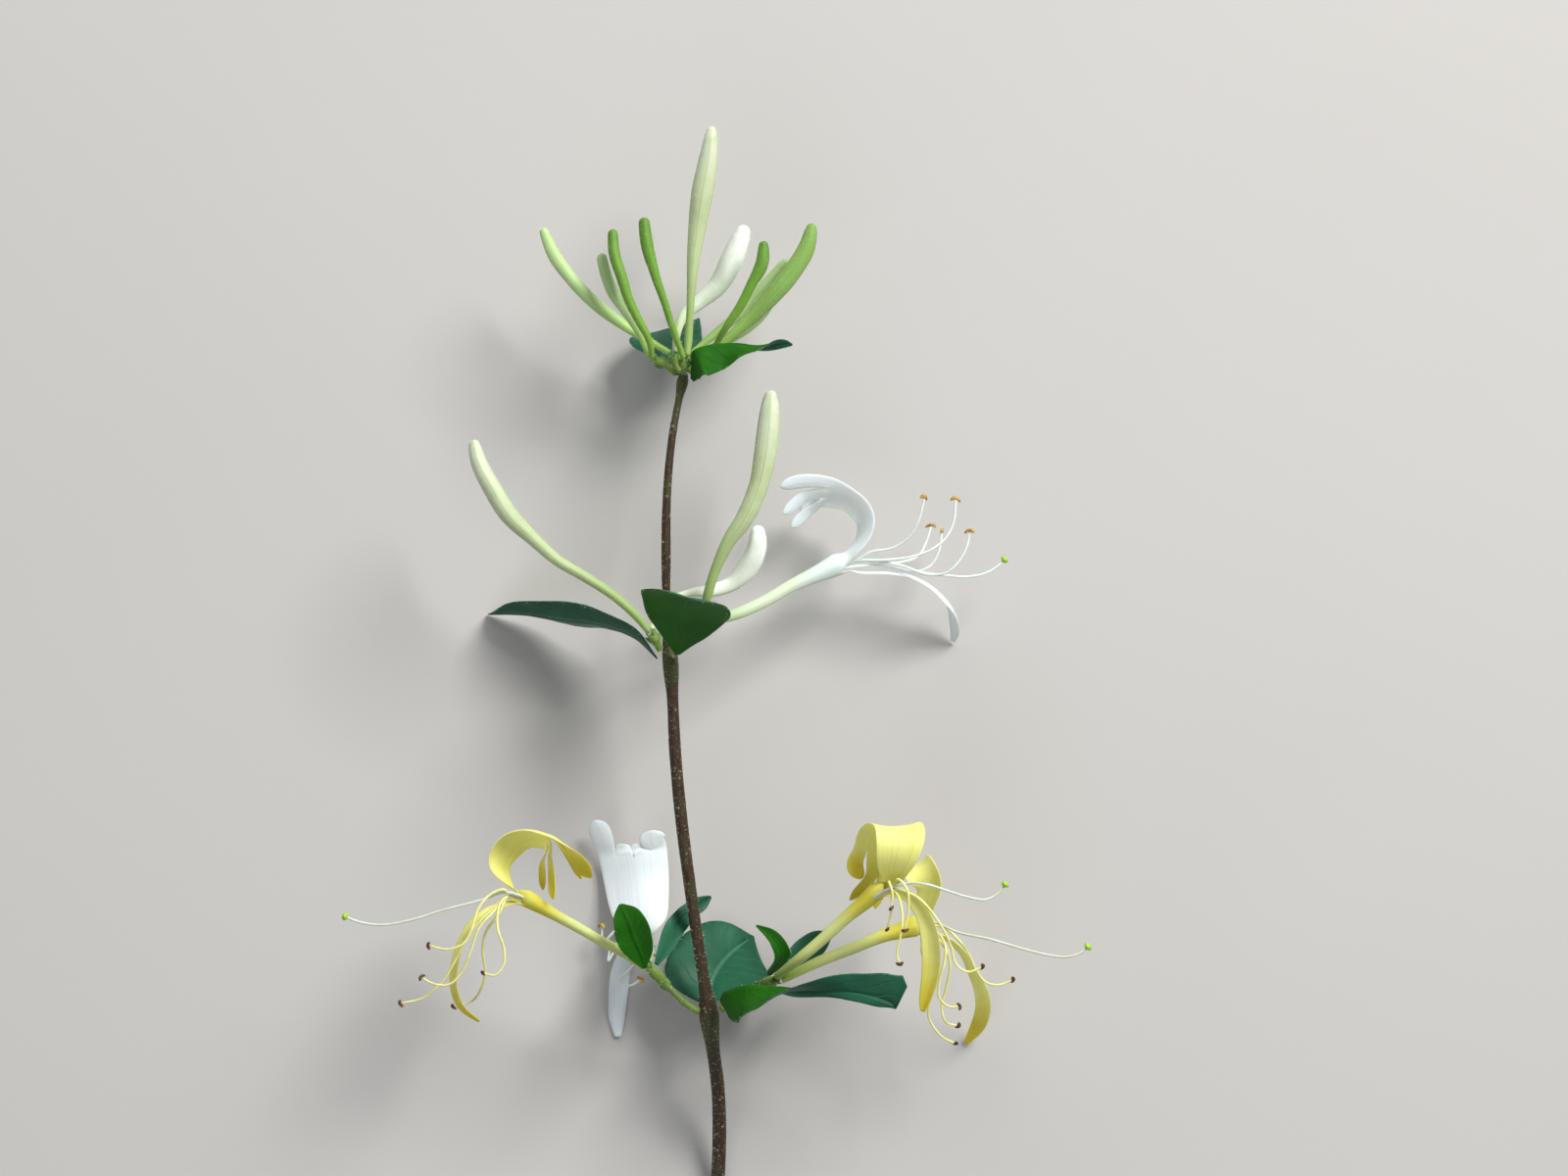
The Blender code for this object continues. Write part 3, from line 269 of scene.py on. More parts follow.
@dataclass
class MeshDraft:
    """Vertices, faces, the place of each face corner in the finish, finish numbers and hair weights."""

    vertices: list = field(default_factory=list)
    faces: list = field(default_factory=list)
    corners: list = field(default_factory=list)
    slots: list = field(default_factory=list)
    weights: list = field(default_factory=list)

    def add_points(self, points: np.ndarray) -> int:
        """Adds points, all hairy.

        Args:
            points: their coordinates, in millimetres.

        Returns:
            The number of the first.
        """
        start = len(self.vertices)
        self.vertices.extend(tuple(float(c) * MM for c in point) for point in points)
        self.weights.extend([1.0] * len(points))
        return start

    def add_face(self, indices: tuple[int, ...], places: tuple[tuple[float, float], ...], slot: int) -> None:
        """Adds a face.

        Args:
            indices: the numbers of its corners.
            places: the place of each corner in the finish.
            slot: the number of the finish.
        """
        self.faces.append(indices)
        self.corners.append(places)
        self.slots.append(slot)

    def add_row(self, points: np.ndarray, us: np.ndarray) -> Edge:
        """Adds a row of points.

        Args:
            points: their coordinates; a ring has one point fewer than places, and closes on its first.
            us: their places across the finish.

        Returns:
            The row, for a surface to grow from.
        """
        wrapped = np.arange(len(us)) % len(points)
        begin = self.add_points(points)
        return Edge(points[wrapped], (begin + wrapped).tolist(), us)

    def grow(
        self, edge: Edge, grid: np.ndarray, span: tuple[float, float] = (0.0, 1.0), slot: int = 0
    ) -> Edge:
        """Adds a surface that carries on from a row of points.

        Args:
            edge: the row that it grows from.
            grid: its further rows of points.
            span: its stretch of the way along the finish.
            slot: the number of the finish.

        Returns:
            Its last row.
        """
        vs = np.linspace(*span, len(grid) + 1)
        for points, near, far in zip(grid, vs, vs[1:]):
            fresh = self.add_row(points, edge.us)
            for c in range(len(edge.us) - 1):
                u, w = edge.us[c], edge.us[c + 1]
                places = ((u, near), (w, near), (w, far), (u, far))
                indices = (edge.indices[c], edge.indices[c + 1], fresh.indices[c + 1], fresh.indices[c])
                self.add_face(indices, places, slot)
            edge = fresh
        return edge

    def add_grid(self, grid: np.ndarray, slot: int) -> int:
        """Adds an open grid of points.

        Args:
            grid: rows, columns and three coordinates.
            slot: the number of the finish.

        Returns:
            The number of the first point.
        """
        edge = self.add_row(grid[0], np.linspace(0.0, 1.0, grid.shape[1]))
        self.grow(edge, grid[1:], slot=slot)
        return edge.indices[0]

    def add_rings(self, rings: np.ndarray, span: tuple[float, float] = (0.0, 1.0), slot: int = 0) -> Edge:
        """Adds a tube with open ends.

        Args:
            rings: rings, points round each and three coordinates.
            span: its stretch of the way along the finish.
            slot: the number of the finish.

        Returns:
            Its last ring.
        """
        sides = rings.shape[1]
        return self.grow(self.add_row(rings[0], np.arange(sides + 1) / sides), rings[1:], span, slot)

    def add_tube(self, rings: np.ndarray, slot: int = 0) -> None:
        """Adds a tube with each end drawn to a pole.

        Args:
            rings: rings, points round each and three coordinates.
            slot: the number of the finish.
        """
        count, sides = rings.shape[:2]
        edge = self.add_rings(rings, slot=slot)
        last = edge.indices
        first = [index - (count - 1) * sides for index in last]
        poles = self.add_points(np.array([rings[0].mean(axis=0), rings[-1].mean(axis=0)]))
        for c in range(sides):
            u, w = edge.us[c], edge.us[c + 1]
            self.add_face((poles, first[c + 1], first[c]), ((u, 0.0), (w, 0.0), (u, 0.0)), slot)
            self.add_face((poles + 1, last[c], last[c + 1]), ((u, 1.0), (u, 1.0), (w, 1.0)), slot)

    def build(self, name: str, materials: list[bpy.types.Material]) -> bpy.types.Object:
        """Makes the object.

        Args:
            name: the object's name.
            materials: its finishes, in the order of their numbers.

        Returns:
            The new object, in the scene, with its faces turned outwards and shaded smooth.
        """
        mesh = bpy.data.meshes.new(name)
        mesh.from_pydata(self.vertices, [], self.faces)
        layer = mesh.uv_layers.new(name=PLACE_MAP)
        layer.data.foreach_set("uv", [c for face in self.corners for corner in face for c in corner])
        weight = mesh.attributes.new(HAIR_WEIGHT, "FLOAT", "POINT")
        weight.data.foreach_set("value", self.weights)
        mesh.polygons.foreach_set("material_index", self.slots)
        mesh.polygons.foreach_set("use_smooth", [True] * len(self.faces))
        built = bmesh.new()
        built.from_mesh(mesh)
        bmesh.ops.recalc_face_normals(built, faces=built.faces)
        built.to_mesh(mesh)
        built.free()
        for material in materials:
            mesh.materials.append(material)
        obj = bpy.data.objects.new(name, mesh)
        bpy.context.scene.collection.objects.link(obj)
        return obj


def finished(obj: bpy.types.Object) -> bpy.types.Object:
    """Turns an object's modifiers into plain mesh.

    Args:
        obj: the object with its modifiers.

    Returns:
        The same object without them.
    """
    bpy.context.view_layer.update()
    graph = bpy.context.evaluated_depsgraph_get()
    mesh = bpy.data.meshes.new_from_object(
        obj.evaluated_get(graph), preserve_all_data_layers=True, depsgraph=graph
    )
    mesh.name = obj.name
    obj.modifiers.clear()
    obj.data = mesh
    return obj


class Graph:
    """A short way to write a material's nodes."""

    def __init__(self, name: str) -> None:
        """Starts a material with only its output and a Principled shader.

        Args:
            name: the material's name.
        """
        self.material = bpy.data.materials.new(name)
        self.material.use_nodes = True
        self.tree = self.material.node_tree
        self.shader = self.tree.nodes["Principled BSDF"]

    def node(self, kind: str, **settings: object) -> bpy.types.Node:
        """Adds a node.

        Args:
            kind: the node's type.
            **settings: its properties.

        Returns:
            The node.
        """
        made = self.tree.nodes.new(kind)
        for key, value in settings.items():
            setattr(made, key, value)
        return made

    def join(self, source: Socket, target: Socket) -> None:
        """Links one socket to another."""
        self.tree.links.new(source, target)

    def feed(self, target: Socket, value: Value) -> None:
        """Links a socket, or sets a plain value or colour.

        Args:
            target: the socket that is fed.
            value: a socket, a number or a colour.
        """
        if isinstance(value, Socket):
            self.join(value, target)
        elif isinstance(value, tuple):
            target.default_value = (*value, 1.0)
        else:
            target.default_value = value

    def math(self, operation: str, *values: Value) -> Socket:
        """Works out a number.

        Args:
            operation: the name of the sum.
            *values: what goes into it.

        Returns:
            The result.
        """
        made = self.node("ShaderNodeMath", operation=operation)
        for socket, value in zip(made.inputs, values):
            self.feed(socket, value)
        return made.outputs[0]

    def ranged(self, value: Value, low: float, high: float) -> Socket:
        """Maps a range onto the numbers from 0 to 1, clamped and eased.

        Args:
            value: the value.
            low: what becomes 0.
            high: what becomes 1.

        Returns:
            The new value.
        """
        made = self.node("ShaderNodeMapRange", interpolation_type="SMOOTHSTEP")
        self.feed(made.inputs["Value"], value)
        made.inputs["From Min"].default_value = low
        made.inputs["From Max"].default_value = high
        return made.outputs[0]

    def mix(self, factor: Value, first: Value, second: Value) -> Socket:
        """Mixes two colours.

        Args:
            factor: the share of the second.
            first: a colour.
            second: another colour.

        Returns:
            The mixed colour.
        """
        made = self.node("ShaderNodeMix", data_type="RGBA")
        self.feed(made.inputs[0], factor)
        self.feed(made.inputs[6], first)
        self.feed(made.inputs[7], second)
        return made.outputs[2]

    def tint(self, colour: Value, mask: Socket, share: float, shade: Value) -> Socket:
        """Lays part of a shade over a colour where a mask is."""
        return self.mix(self.math("MULTIPLY", mask, share), colour, shade)

    def place(self) -> tuple[Socket, Socket]:
        """The place in the finish.

        Returns:
            The way across it and the way along it, each from 0 to 1.
        """
        split = self.node("ShaderNodeSeparateXYZ")
        self.join(self.node("ShaderNodeUVMap", uv_map=PLACE_MAP).outputs[0], split.inputs[0])
        return split.outputs[0], split.outputs[1]

    def noise(self, scale: float, detail: float) -> Socket:
        """Noise in space.

        Args:
            scale: how fine it is.
            detail: how many finer layers it has.

        Returns:
            The noise, from 0 to 1.
        """
        made = self.node("ShaderNodeTexNoise")
        made.inputs["Scale"].default_value = scale
        made.inputs["Detail"].default_value = detail
        self.join(self.node("ShaderNodeTexCoord").outputs["Object"], made.inputs["Vector"])
        return made.outputs[0]

    def streaks(self, across: float, along: float, detail: float) -> Socket:
        """Noise on the place in the finish, drawn out one way.

        Args:
            across: how fine it is across.
            along: how fine it is along.
            detail: how many finer layers it has.

        Returns:
            The noise, from 0 to 1.
        """
        mapping = self.node("ShaderNodeMapping")
        mapping.inputs["Scale"].default_value = (across, along, 1.0)
        self.join(self.node("ShaderNodeUVMap", uv_map=PLACE_MAP).outputs[0], mapping.inputs[0])
        made = self.node("ShaderNodeTexNoise")
        made.inputs["Scale"].default_value = 1.0
        made.inputs["Detail"].default_value = detail
        self.join(mapping.outputs[0], made.inputs["Vector"])
        return made.outputs[0]

    def bump(self, height: Socket, distance: float, strength: float = 0.5) -> None:
        """Adds relief to the shader.

        Args:
            height: the height, from 0 to 1.
            distance: the height of 1, in millimetres.
            strength: how strongly it shows.
        """
        made = self.node("ShaderNodeBump")
        made.inputs["Distance"].default_value = distance * MM
        made.inputs["Strength"].default_value = strength
        self.join(height, made.inputs["Height"])
        self.join(made.outputs[0], self.shader.inputs["Normal"])

    def surface(
        self, colour: Value, roughness: float, soft: float, reach: float, shine: float = 0.35
    ) -> bpy.types.Material:
        """Sets the shader.

        Args:
            colour: its colour.
            roughness: how dull it is.
            soft: how much light passes under the surface.
            reach: how far that light spreads, in millimetres.
            shine: how strongly the surface reflects.

        Returns:
            The material.
        """
        inputs = self.shader.inputs
        self.feed(inputs["Base Color"], colour)
        inputs["Roughness"].default_value = roughness
        inputs["Specular IOR Level"].default_value = shine
        if soft:
            inputs["Subsurface Weight"].default_value = soft
            inputs["Subsurface Radius"].default_value = (1.0, 0.9, 0.6)
            inputs["Subsurface Scale"].default_value = reach * MM
        return self.material


@dataclass(frozen=True)
class PetalFinish:
    """A thin petal: a greenish foot, a pale tube, a throat, a lip with a darker tip and fine veins along it;
    the darker tip and the yellow tone's ochre throat are partly painted shade.
    """

    name: str
    foot: Colour
    tube: Colour
    throat: Colour
    lip: Colour
    tip: Colour
    vein: Colour

    def make(self) -> bpy.types.Material:
        """Makes the finish.

        Returns:
            The material.
        """
        g = Graph(self.name)
        _, along = g.place()
        veins = g.streaks(across=60.0, along=2.5, detail=2.0)
        blotch = g.noise(scale=260.0, detail=3.0)
        colour = self.foot
        # The throat band sits where the tube turns into the lips; in the yellow tone its ochre is partly
        # painted shade.
        for start, end, shade in ((0.02, 0.2, self.tube), (0.3, 0.45, self.throat), (0.45, 0.62, self.lip)):
            colour = g.mix(g.ranged(along, start, end), colour, shade)
        # The darker tip, with a ragged edge, is partly painted shade laid over the petal's own tone.
        uneven = g.math("ADD", along, g.math("MULTIPLY", blotch, 0.12))
        colour = g.mix(g.ranged(uneven, 0.8, 1.05), colour, self.tip)
        colour = g.tint(colour, g.ranged(veins, 0.5, 0.72), 0.45, self.vein)
        colour = g.tint(colour, g.ranged(blotch, 0.35, 0.75), 0.12, self.vein)
        g.bump(veins, distance=0.12)
        return g.surface(colour, roughness=0.55, soft=0.4, reach=1.2)


@dataclass(frozen=True)
class BudFinish:
    """A closed bud: its foot, its middle and its tip, with stripes along its flutes."""

    name: str
    foot: Colour
    middle: Colour
    tip: Colour
    stripe: Colour
    flutes: int = 5

    def make(self) -> bpy.types.Material:
        """Makes the finish.

        Returns:
            The material.
        """
        g = Graph(self.name)
        across, along = g.place()
        streaks = g.streaks(across=40.0, along=3.0, detail=3.0)
        blotch = g.noise(scale=420.0, detail=4.0)
        colour = g.mix(g.ranged(along, 0.05, 0.5), self.foot, self.middle)
        colour = g.mix(g.ranged(along, 0.55, 0.95), colour, self.tip)
        wave = g.math("ABSOLUTE", g.math("SINE", g.math("MULTIPLY", across, math.pi * self.flutes)))
        colour = g.tint(colour, g.ranged(wave, 0.35, 0.0), 0.45, self.stripe)
        colour = g.tint(colour, g.ranged(streaks, 0.45, 0.8), 0.4, self.stripe)
        colour = g.tint(colour, g.ranged(blotch, 0.4, 0.8), 0.25, self.foot)
        g.bump(streaks, distance=0.08)
        return g.surface(colour, roughness=0.55, soft=0.3, reach=0.8)


@dataclass(frozen=True)
class LeafFinish:
    """One face of a leaf: its green, its paler veins and how strongly they show; the upper face's teal green
    carries a painted sky reflection.
    """

    name: str
    green: Colour
    deep: Colour
    vein: Colour
    roughness: float
    vein_share: float
    vein_pairs: float = 8.0
    vein_slant: float = 0.55
    net_scale: float = 34.0

    def make(self) -> bpy.types.Material:
        """Makes the finish, with a midrib, slanting side veins, a fine net between them and a pale rim.

        Returns:
            The material.
        """
        g = Graph(self.name)
        across, along = g.place()
        off = g.math("ABSOLUTE", g.math("SUBTRACT", across, 0.5))
        wobble = g.math("MULTIPLY", g.streaks(across=6.0, along=6.0, detail=2.0), 0.12)
        slant = g.math("SUBTRACT", g.math("ADD", along, wobble), g.math("MULTIPLY", off, self.vein_slant))
        comb = g.math("FRACT", g.math("MULTIPLY", slant, self.vein_pairs))
        comb = g.math("ABSOLUTE", g.math("SUBTRACT", comb, 0.5))
        side_vein = g.math("MULTIPLY", g.ranged(comb, 0.07, 0.0), g.ranged(off, 0.5, 0.3))
        midrib = g.ranged(off, 0.035, 0.005)
        net = g.node("ShaderNodeTexVoronoi", feature="DISTANCE_TO_EDGE")
        net.inputs["Scale"].default_value = self.net_scale
        g.join(g.node("ShaderNodeUVMap", uv_map=PLACE_MAP).outputs[0], net.inputs["Vector"])
        blotch = g.noise(scale=160.0, detail=4.0)
        colour = g.mix(g.ranged(blotch, 0.3, 0.75), self.green, self.deep)
        for mask, share in (
            (g.ranged(net.outputs["Distance"], 0.06, 0.0), 0.12 * self.vein_share),
            (side_vein, 0.6 * self.vein_share),
            (midrib, self.vein_share),
            (g.ranged(off, 0.485, 0.5), 0.5),
        ):
            colour = g.tint(colour, mask, share, self.vein)
        relief = g.math("SUBTRACT", g.math("MULTIPLY", blotch, 0.4), g.math("MAXIMUM", midrib, side_vein))
        g.bump(relief, distance=0.18, strength=0.6)
        return g.surface(colour, self.roughness, soft=0.1, reach=0.5, shine=0.15)


@dataclass(frozen=True)
class StemFinish:
    """Thin bark: streaked, speckled, and green where leaves grow from it."""

    name: str
    bark: Colour
    dark: Colour
    green: Colour
    speck: Colour
    green_share: float = 0.5
    joints: tuple[tuple[float, float], ...] = ()

    def make(self) -> bpy.types.Material:
        """Makes the finish; each joint is a place along the stem and how far its green reaches.

        Returns:
            The material.
        """
        g = Graph(self.name)
        _, along = g.place()
        streaks = g.streaks(across=26.0, along=90.0, detail=4.0)
        blotch = g.noise(scale=300.0, detail=4.0)
        colour = g.mix(g.ranged(streaks, 0.35, 0.7), self.bark, self.dark)
        colour = g.tint(colour, g.ranged(blotch, 0.45, 0.75), self.green_share, self.green)
        for at, reach in self.joints:
            off = g.math("ABSOLUTE", g.math("SUBTRACT", along, at))
            colour = g.tint(colour, g.ranged(off, reach, 0.2 * reach), 0.65, self.green)
        specks = g.node("ShaderNodeTexVoronoi")
        specks.inputs["Scale"].default_value = 620.0
        g.join(g.node("ShaderNodeTexCoord").outputs["Object"], specks.inputs["Vector"])
        spot = g.ranged(specks.outputs["Distance"], 0.22, 0.1)
        colour = g.tint(colour, spot, 0.5, self.speck)
        g.bump(g.math("ADD", streaks, spot), distance=0.1, strength=0.7)
        return g.surface(colour, roughness=0.5, soft=0.08, reach=0.3)


@dataclass(frozen=True)
class PlainFinish:
    """A small part in one colour, mottled towards a second."""

    name: str
    colour: Colour
    second: Colour
    grain: float
    roughness: float
    soft: float = 0.0

    def make(self) -> bpy.types.Material:
        """Makes the finish.

        Returns:
            The material.
        """
        g = Graph(self.name)
        mottle = g.noise(self.grain, detail=3.0)
        colour = g.mix(g.ranged(mottle, 0.35, 0.7), self.colour, self.second)
        g.bump(mottle, distance=0.05)
        return g.surface(colour, self.roughness, self.soft, reach=0.6)


Finish = PetalFinish | BudFinish | LeafFinish | StemFinish | PlainFinish


class PetalTone(Enum):
    """The two ages of an open flower: white when new, yellow when old."""

    WHITE = PetalFinish(
        "petal_white",
        foot=(0.4, 0.58, 0.2),
        tube=(0.68, 0.8, 0.52),
        throat=(0.72, 0.84, 0.74),
        lip=(0.84, 0.91, 0.93),
        # The darker, bluer tip is partly painted shade.
        tip=(0.76, 0.85, 0.88),
        vein=(0.6, 0.71, 0.66),
    )
    # The ochre throat and tip mix the old petals' deeper gold with painted shade.
    YELLOW = PetalFinish(
        "petal_yellow",
        foot=(0.36, 0.5, 0.12),
        tube=(0.62, 0.68, 0.25),
        throat=(0.6, 0.53, 0.04),
        lip=(0.84, 0.83, 0.26),
        tip=(0.56, 0.45, 0.015),
        vein=(0.62, 0.56, 0.05),
    )


class BudTone(Enum):
    """How ripe a bud is."""

    GREEN = BudFinish(
        "bud_green",
        foot=(0.22, 0.4, 0.05),
        middle=(0.14, 0.31, 0.028),
        tip=(0.1, 0.24, 0.024),
        stripe=(0.07, 0.19, 0.01),
    )
    LIGHT = BudFinish(
        "bud_light_green",
        foot=(0.28, 0.46, 0.1),
        middle=(0.24, 0.41, 0.1),
        tip=(0.2, 0.36, 0.075),
        stripe=(0.14, 0.28, 0.04),
    )
    LIME = BudFinish(
        "bud_lime",
        foot=(0.32, 0.52, 0.12),
        middle=(0.5, 0.68, 0.32),
        tip=(0.46, 0.64, 0.3),
        stripe=(0.3, 0.48, 0.12),
    )
    CREAM = BudFinish(
        "bud_cream",
        foot=(0.28, 0.42, 0.12),
        middle=(0.5, 0.58, 0.34),
        tip=(0.66, 0.71, 0.55),
        stripe=(0.26, 0.33, 0.1),
    )
    WHITE = BudFinish(
        "bud_white",
        foot=(0.5, 0.62, 0.32),
        middle=(0.86, 0.91, 0.82),
        tip=(0.9, 0.94, 0.91),
        stripe=(0.74, 0.81, 0.66),
    )


class Slot(Enum):
    """The finish slots of the record."""

    STEM_BARK = "stem_bark"
    STALK_GREEN = "stalk_green"
    BUD_GREEN = "bud_green"
    BUD_CREAM = "bud_cream"
    LEAF_GREEN = "leaf_green"
    PETAL_WHITE = "petal_white"
    PETAL_YELLOW = "petal_yellow"
    FILAMENT_PALE = "filament_pale"
    STYLE_PALE = "style_pale"


# The upper face's teal is the leaf's dark green with a painted bluish sky reflection laid into its green,
# deep and vein colours.
LEAF_UPPER = LeafFinish(
    "leaf_upper",
    green=(0.014, 0.108, 0.054),
    deep=(0.008, 0.072, 0.034),
    vein=(0.09, 0.22, 0.14),
    roughness=0.42,
    vein_share=0.5,
)
LEAF_UNDER = LeafFinish(
    "leaf_under",
    green=(0.013, 0.118, 0.002),
    deep=(0.009, 0.09, 0.0015),
    vein=(0.032, 0.15, 0.008),
    roughness=0.6,
    vein_share=0.3,
)
BARK = StemFinish(
    "stem_bark",
    bark=(0.055, 0.028, 0.014),
    dark=(0.018, 0.01, 0.006),
    green=(0.06, 0.08, 0.015),
    speck=(0.3, 0.24, 0.14),
    joints=((0.253, 0.03), (0.668, 0.03), (1.0, 0.09)),
)
STALK_SKIN = StemFinish(
    "stalk_green",
    bark=(0.17, 0.27, 0.05),
    dark=(0.1, 0.17, 0.025),
    green=(0.22, 0.36, 0.07),
    speck=(0.46, 0.5, 0.24),
    green_share=0.9,
)
CUT_WOOD = PlainFinish("cut_wood", (0.5, 0.5, 0.28), (0.34, 0.36, 0.16), grain=1500.0, roughness=0.8)
CALYX = PlainFinish("calyx_green", (0.07, 0.2, 0.02), (0.13, 0.29, 0.04), 700.0, roughness=0.5, soft=0.1)
THREAD_WHITE = PlainFinish("thread_white", (0.8, 0.86, 0.84), (0.72, 0.8, 0.74), 500.0, 0.5, soft=0.3)
THREAD_YELLOW = PlainFinish("thread_yellow", (0.78, 0.77, 0.34), (0.7, 0.67, 0.24), 500.0, 0.5, soft=0.3)
ANTHER_FRESH = PlainFinish("anther_golden", (0.36, 0.19, 0.03), (0.6, 0.38, 0.1), 1800.0, roughness=0.85)
ANTHER_OLD = PlainFinish("anther_brown", (0.07, 0.035, 0.02), (0.16, 0.08, 0.045), 1800.0, roughness=0.85)
STYLE_LILAC = PlainFinish("style_lilac", (0.62, 0.68, 0.66), (0.56, 0.6, 0.44), 300.0, 0.5, soft=0.3)
STIGMA = PlainFinish("stigma_green", (0.3, 0.56, 0.02), (0.42, 0.68, 0.05), 1200.0, 0.4, soft=0.2)
HAIR = PlainFinish("hair_pale", (0.8, 0.82, 0.74), (0.66, 0.7, 0.6), grain=300.0, roughness=0.6)
FLOOR = PlainFinish("floor_pale", (0.52, 0.505, 0.49), (0.51, 0.495, 0.48), grain=8.0, roughness=0.9)


class Wardrobe:
    """Makes each finish once and hands it out."""

    def __init__(self) -> None:
        """Starts empty."""
        self.made: dict[str, bpy.types.Material] = {}

    def get(self, finish: Finish) -> bpy.types.Material:
        """Hands out a finish.

        Args:
            finish: the finish.

        Returns:
            Its material.
        """
        if finish.name not in self.made:
            self.made[finish.name] = finish.make()
        return self.made[finish.name]


@dataclass(frozen=True)
class MainStem:
    """The woody stem, from its cut end to the top whorl, a little uneven in thickness."""

    knots: Knots
    rows: int = 260
    sides: int = 20
    flutes: float = 0.03
    flute_count: int = 4
    wobble: float = 0.025
    wobble_rows: int = 9
    seed: int = 11

    def build(self, wardrobe: Wardrobe) -> bpy.types.Object:
        """Builds the stem in its bark, with a pale cut face.

        Args:
            wardrobe: where its finishes come from.

        Returns:
            The stem.
        """
        rows = Route(self.knots).rows(self.rows)
        steps = np.random.default_rng(self.seed).normal(size=self.rows + self.wobble_rows - 1)
        swell = np.convolve(steps, np.ones(self.wobble_rows) / self.wobble_rows, "valid")
        rows[:, 3] *= 1.0 + self.wobble * swell
        draft = MeshDraft()
        draft.add_tube(round_rings(rows, self.sides, self.flutes, self.flute_count))
        for number, face in enumerate(draft.faces):
            if len(face) == 3 and max(face[1:]) < self.sides:
                draft.slots[number] = 1
        return draft.build("main_stem_bark", [wardrobe.get(BARK), wardrobe.get(CUT_WOOD)])


@dataclass(frozen=True)
class Stalk:
    """A short stalk with two scales, the ovary and the toothed calyx at its end."""

    name: str
    knots: Knots
    rows: int = 34
    sides: int = 14
    flutes: float = 0.02
    teeth: int = 5
    tooth_length: float = 0.9
    tooth_radii: Vector3 = (0.2, 0.16, 0.03)
    scale_row: int = 20
    scale_length: float = 1.3
    scale_radii: Vector3 = (0.3, 0.34, 0.06)

    def build(self, wardrobe: Wardrobe) -> bpy.types.Object:
        """Builds the stalk.

        Args:
            wardrobe: where its finishes come from.

        Returns:
            The stalk.
        """
        rows = Route(self.knots).rows(self.rows)
        ahead = tangents(rows[:, :3])[-1]
        first, second = ring_frames(rows[:, :3])
        draft = MeshDraft()
        draft.add_tube(round_rings(rows, self.sides, self.flutes))
        for tooth in range(self.teeth):
            angle = 2 * math.pi * (tooth + 0.3) / self.teeth
            out = math.cos(angle) * first[-1] + math.sin(angle) * second[-1]
            root = rows[-1, :3] + out * rows[-1, 3] * 0.85 - ahead * 0.25
            tip = root + out * 0.3 + ahead * self.tooth_length
            self.scale(draft, (root, (root + tip) / 2 + out * 0.08, tip), self.tooth_radii, 6)
        for side in (-1.0, 1.0):
            out = second[self.scale_row] * side
            root = rows[self.scale_row, :3] + out * rows[self.scale_row, 3] * 0.8
            tip = root + ahead * self.scale_length + out * 0.45
            self.scale(draft, (root, (root + tip) / 2, tip), self.scale_radii, 7)
        return draft.build(f"{self.name}_skin", [wardrobe.get(STALK_SKIN), wardrobe.get(CALYX)])

    @staticmethod
    def scale(draft: MeshDraft, points: tuple[np.ndarray, ...], radii: Vector3, sides: int) -> None:
        """Adds a pointed scale or tooth in the finish of the calyx.

        Args:
            draft: the draft that it goes into.
            points: its root, middle and tip.
            radii: its radius at each of them.
            sides: how many sides and rows it has.
        """
        spine = Route(tuple((*point, radius) for point, radius in zip(points, radii)))
        draft.add_tube(round_rings(spine.rows(sides), sides), 1)


@dataclass(frozen=True)
class Seat:
    """Where a bud or a tube sits: on the rim of a stalk, to one side of it."""

    stalk: str
    side: Vector3
    off_axis: float = 0.55
    past_rim: float = 0.65

    def point(self) -> np.ndarray:
        """Finds the place, just past the rim.

        Returns:
            The point.
        """
        before, end = (np.array(knot[:3]) for knot in STALKS[self.stalk].knots[-2:])
        forward = unit(end - before)
        off = unit(np.array(self.side))
        off = unit(off - forward * (off @ forward))
        return end + off * self.off_axis + forward * self.past_rim


@dataclass(frozen=True)
class Bud:
    """A closed bud: a slender club with five soft flutes and a round nose."""

    name: str
    tone: BudTone
    seat: Seat
    knots: Knots
    foot_radius: float = 0.5
    rows: int = 64
    sides: int = 20
    flutes: float = 0.035

    def slot(self) -> Slot:
        """The slot of its finish."""
        return Slot.BUD_GREEN if self.tone in (BudTone.GREEN, BudTone.LIGHT) else Slot.BUD_CREAM

    def build(self, wardrobe: Wardrobe) -> bpy.types.Object:
        """Builds the bud.

        Args:
            wardrobe: where its finish comes from.

        Returns:
            The bud.
        """
        route = Route(((*self.seat.point(), self.foot_radius), *self.knots))
        draft = MeshDraft()
        draft.add_tube(round_rings(round_nose(route.rows(self.rows)), self.sides, self.flutes))
        return draft.build(f"{self.name}_skin", [wardrobe.get(self.tone.value)])


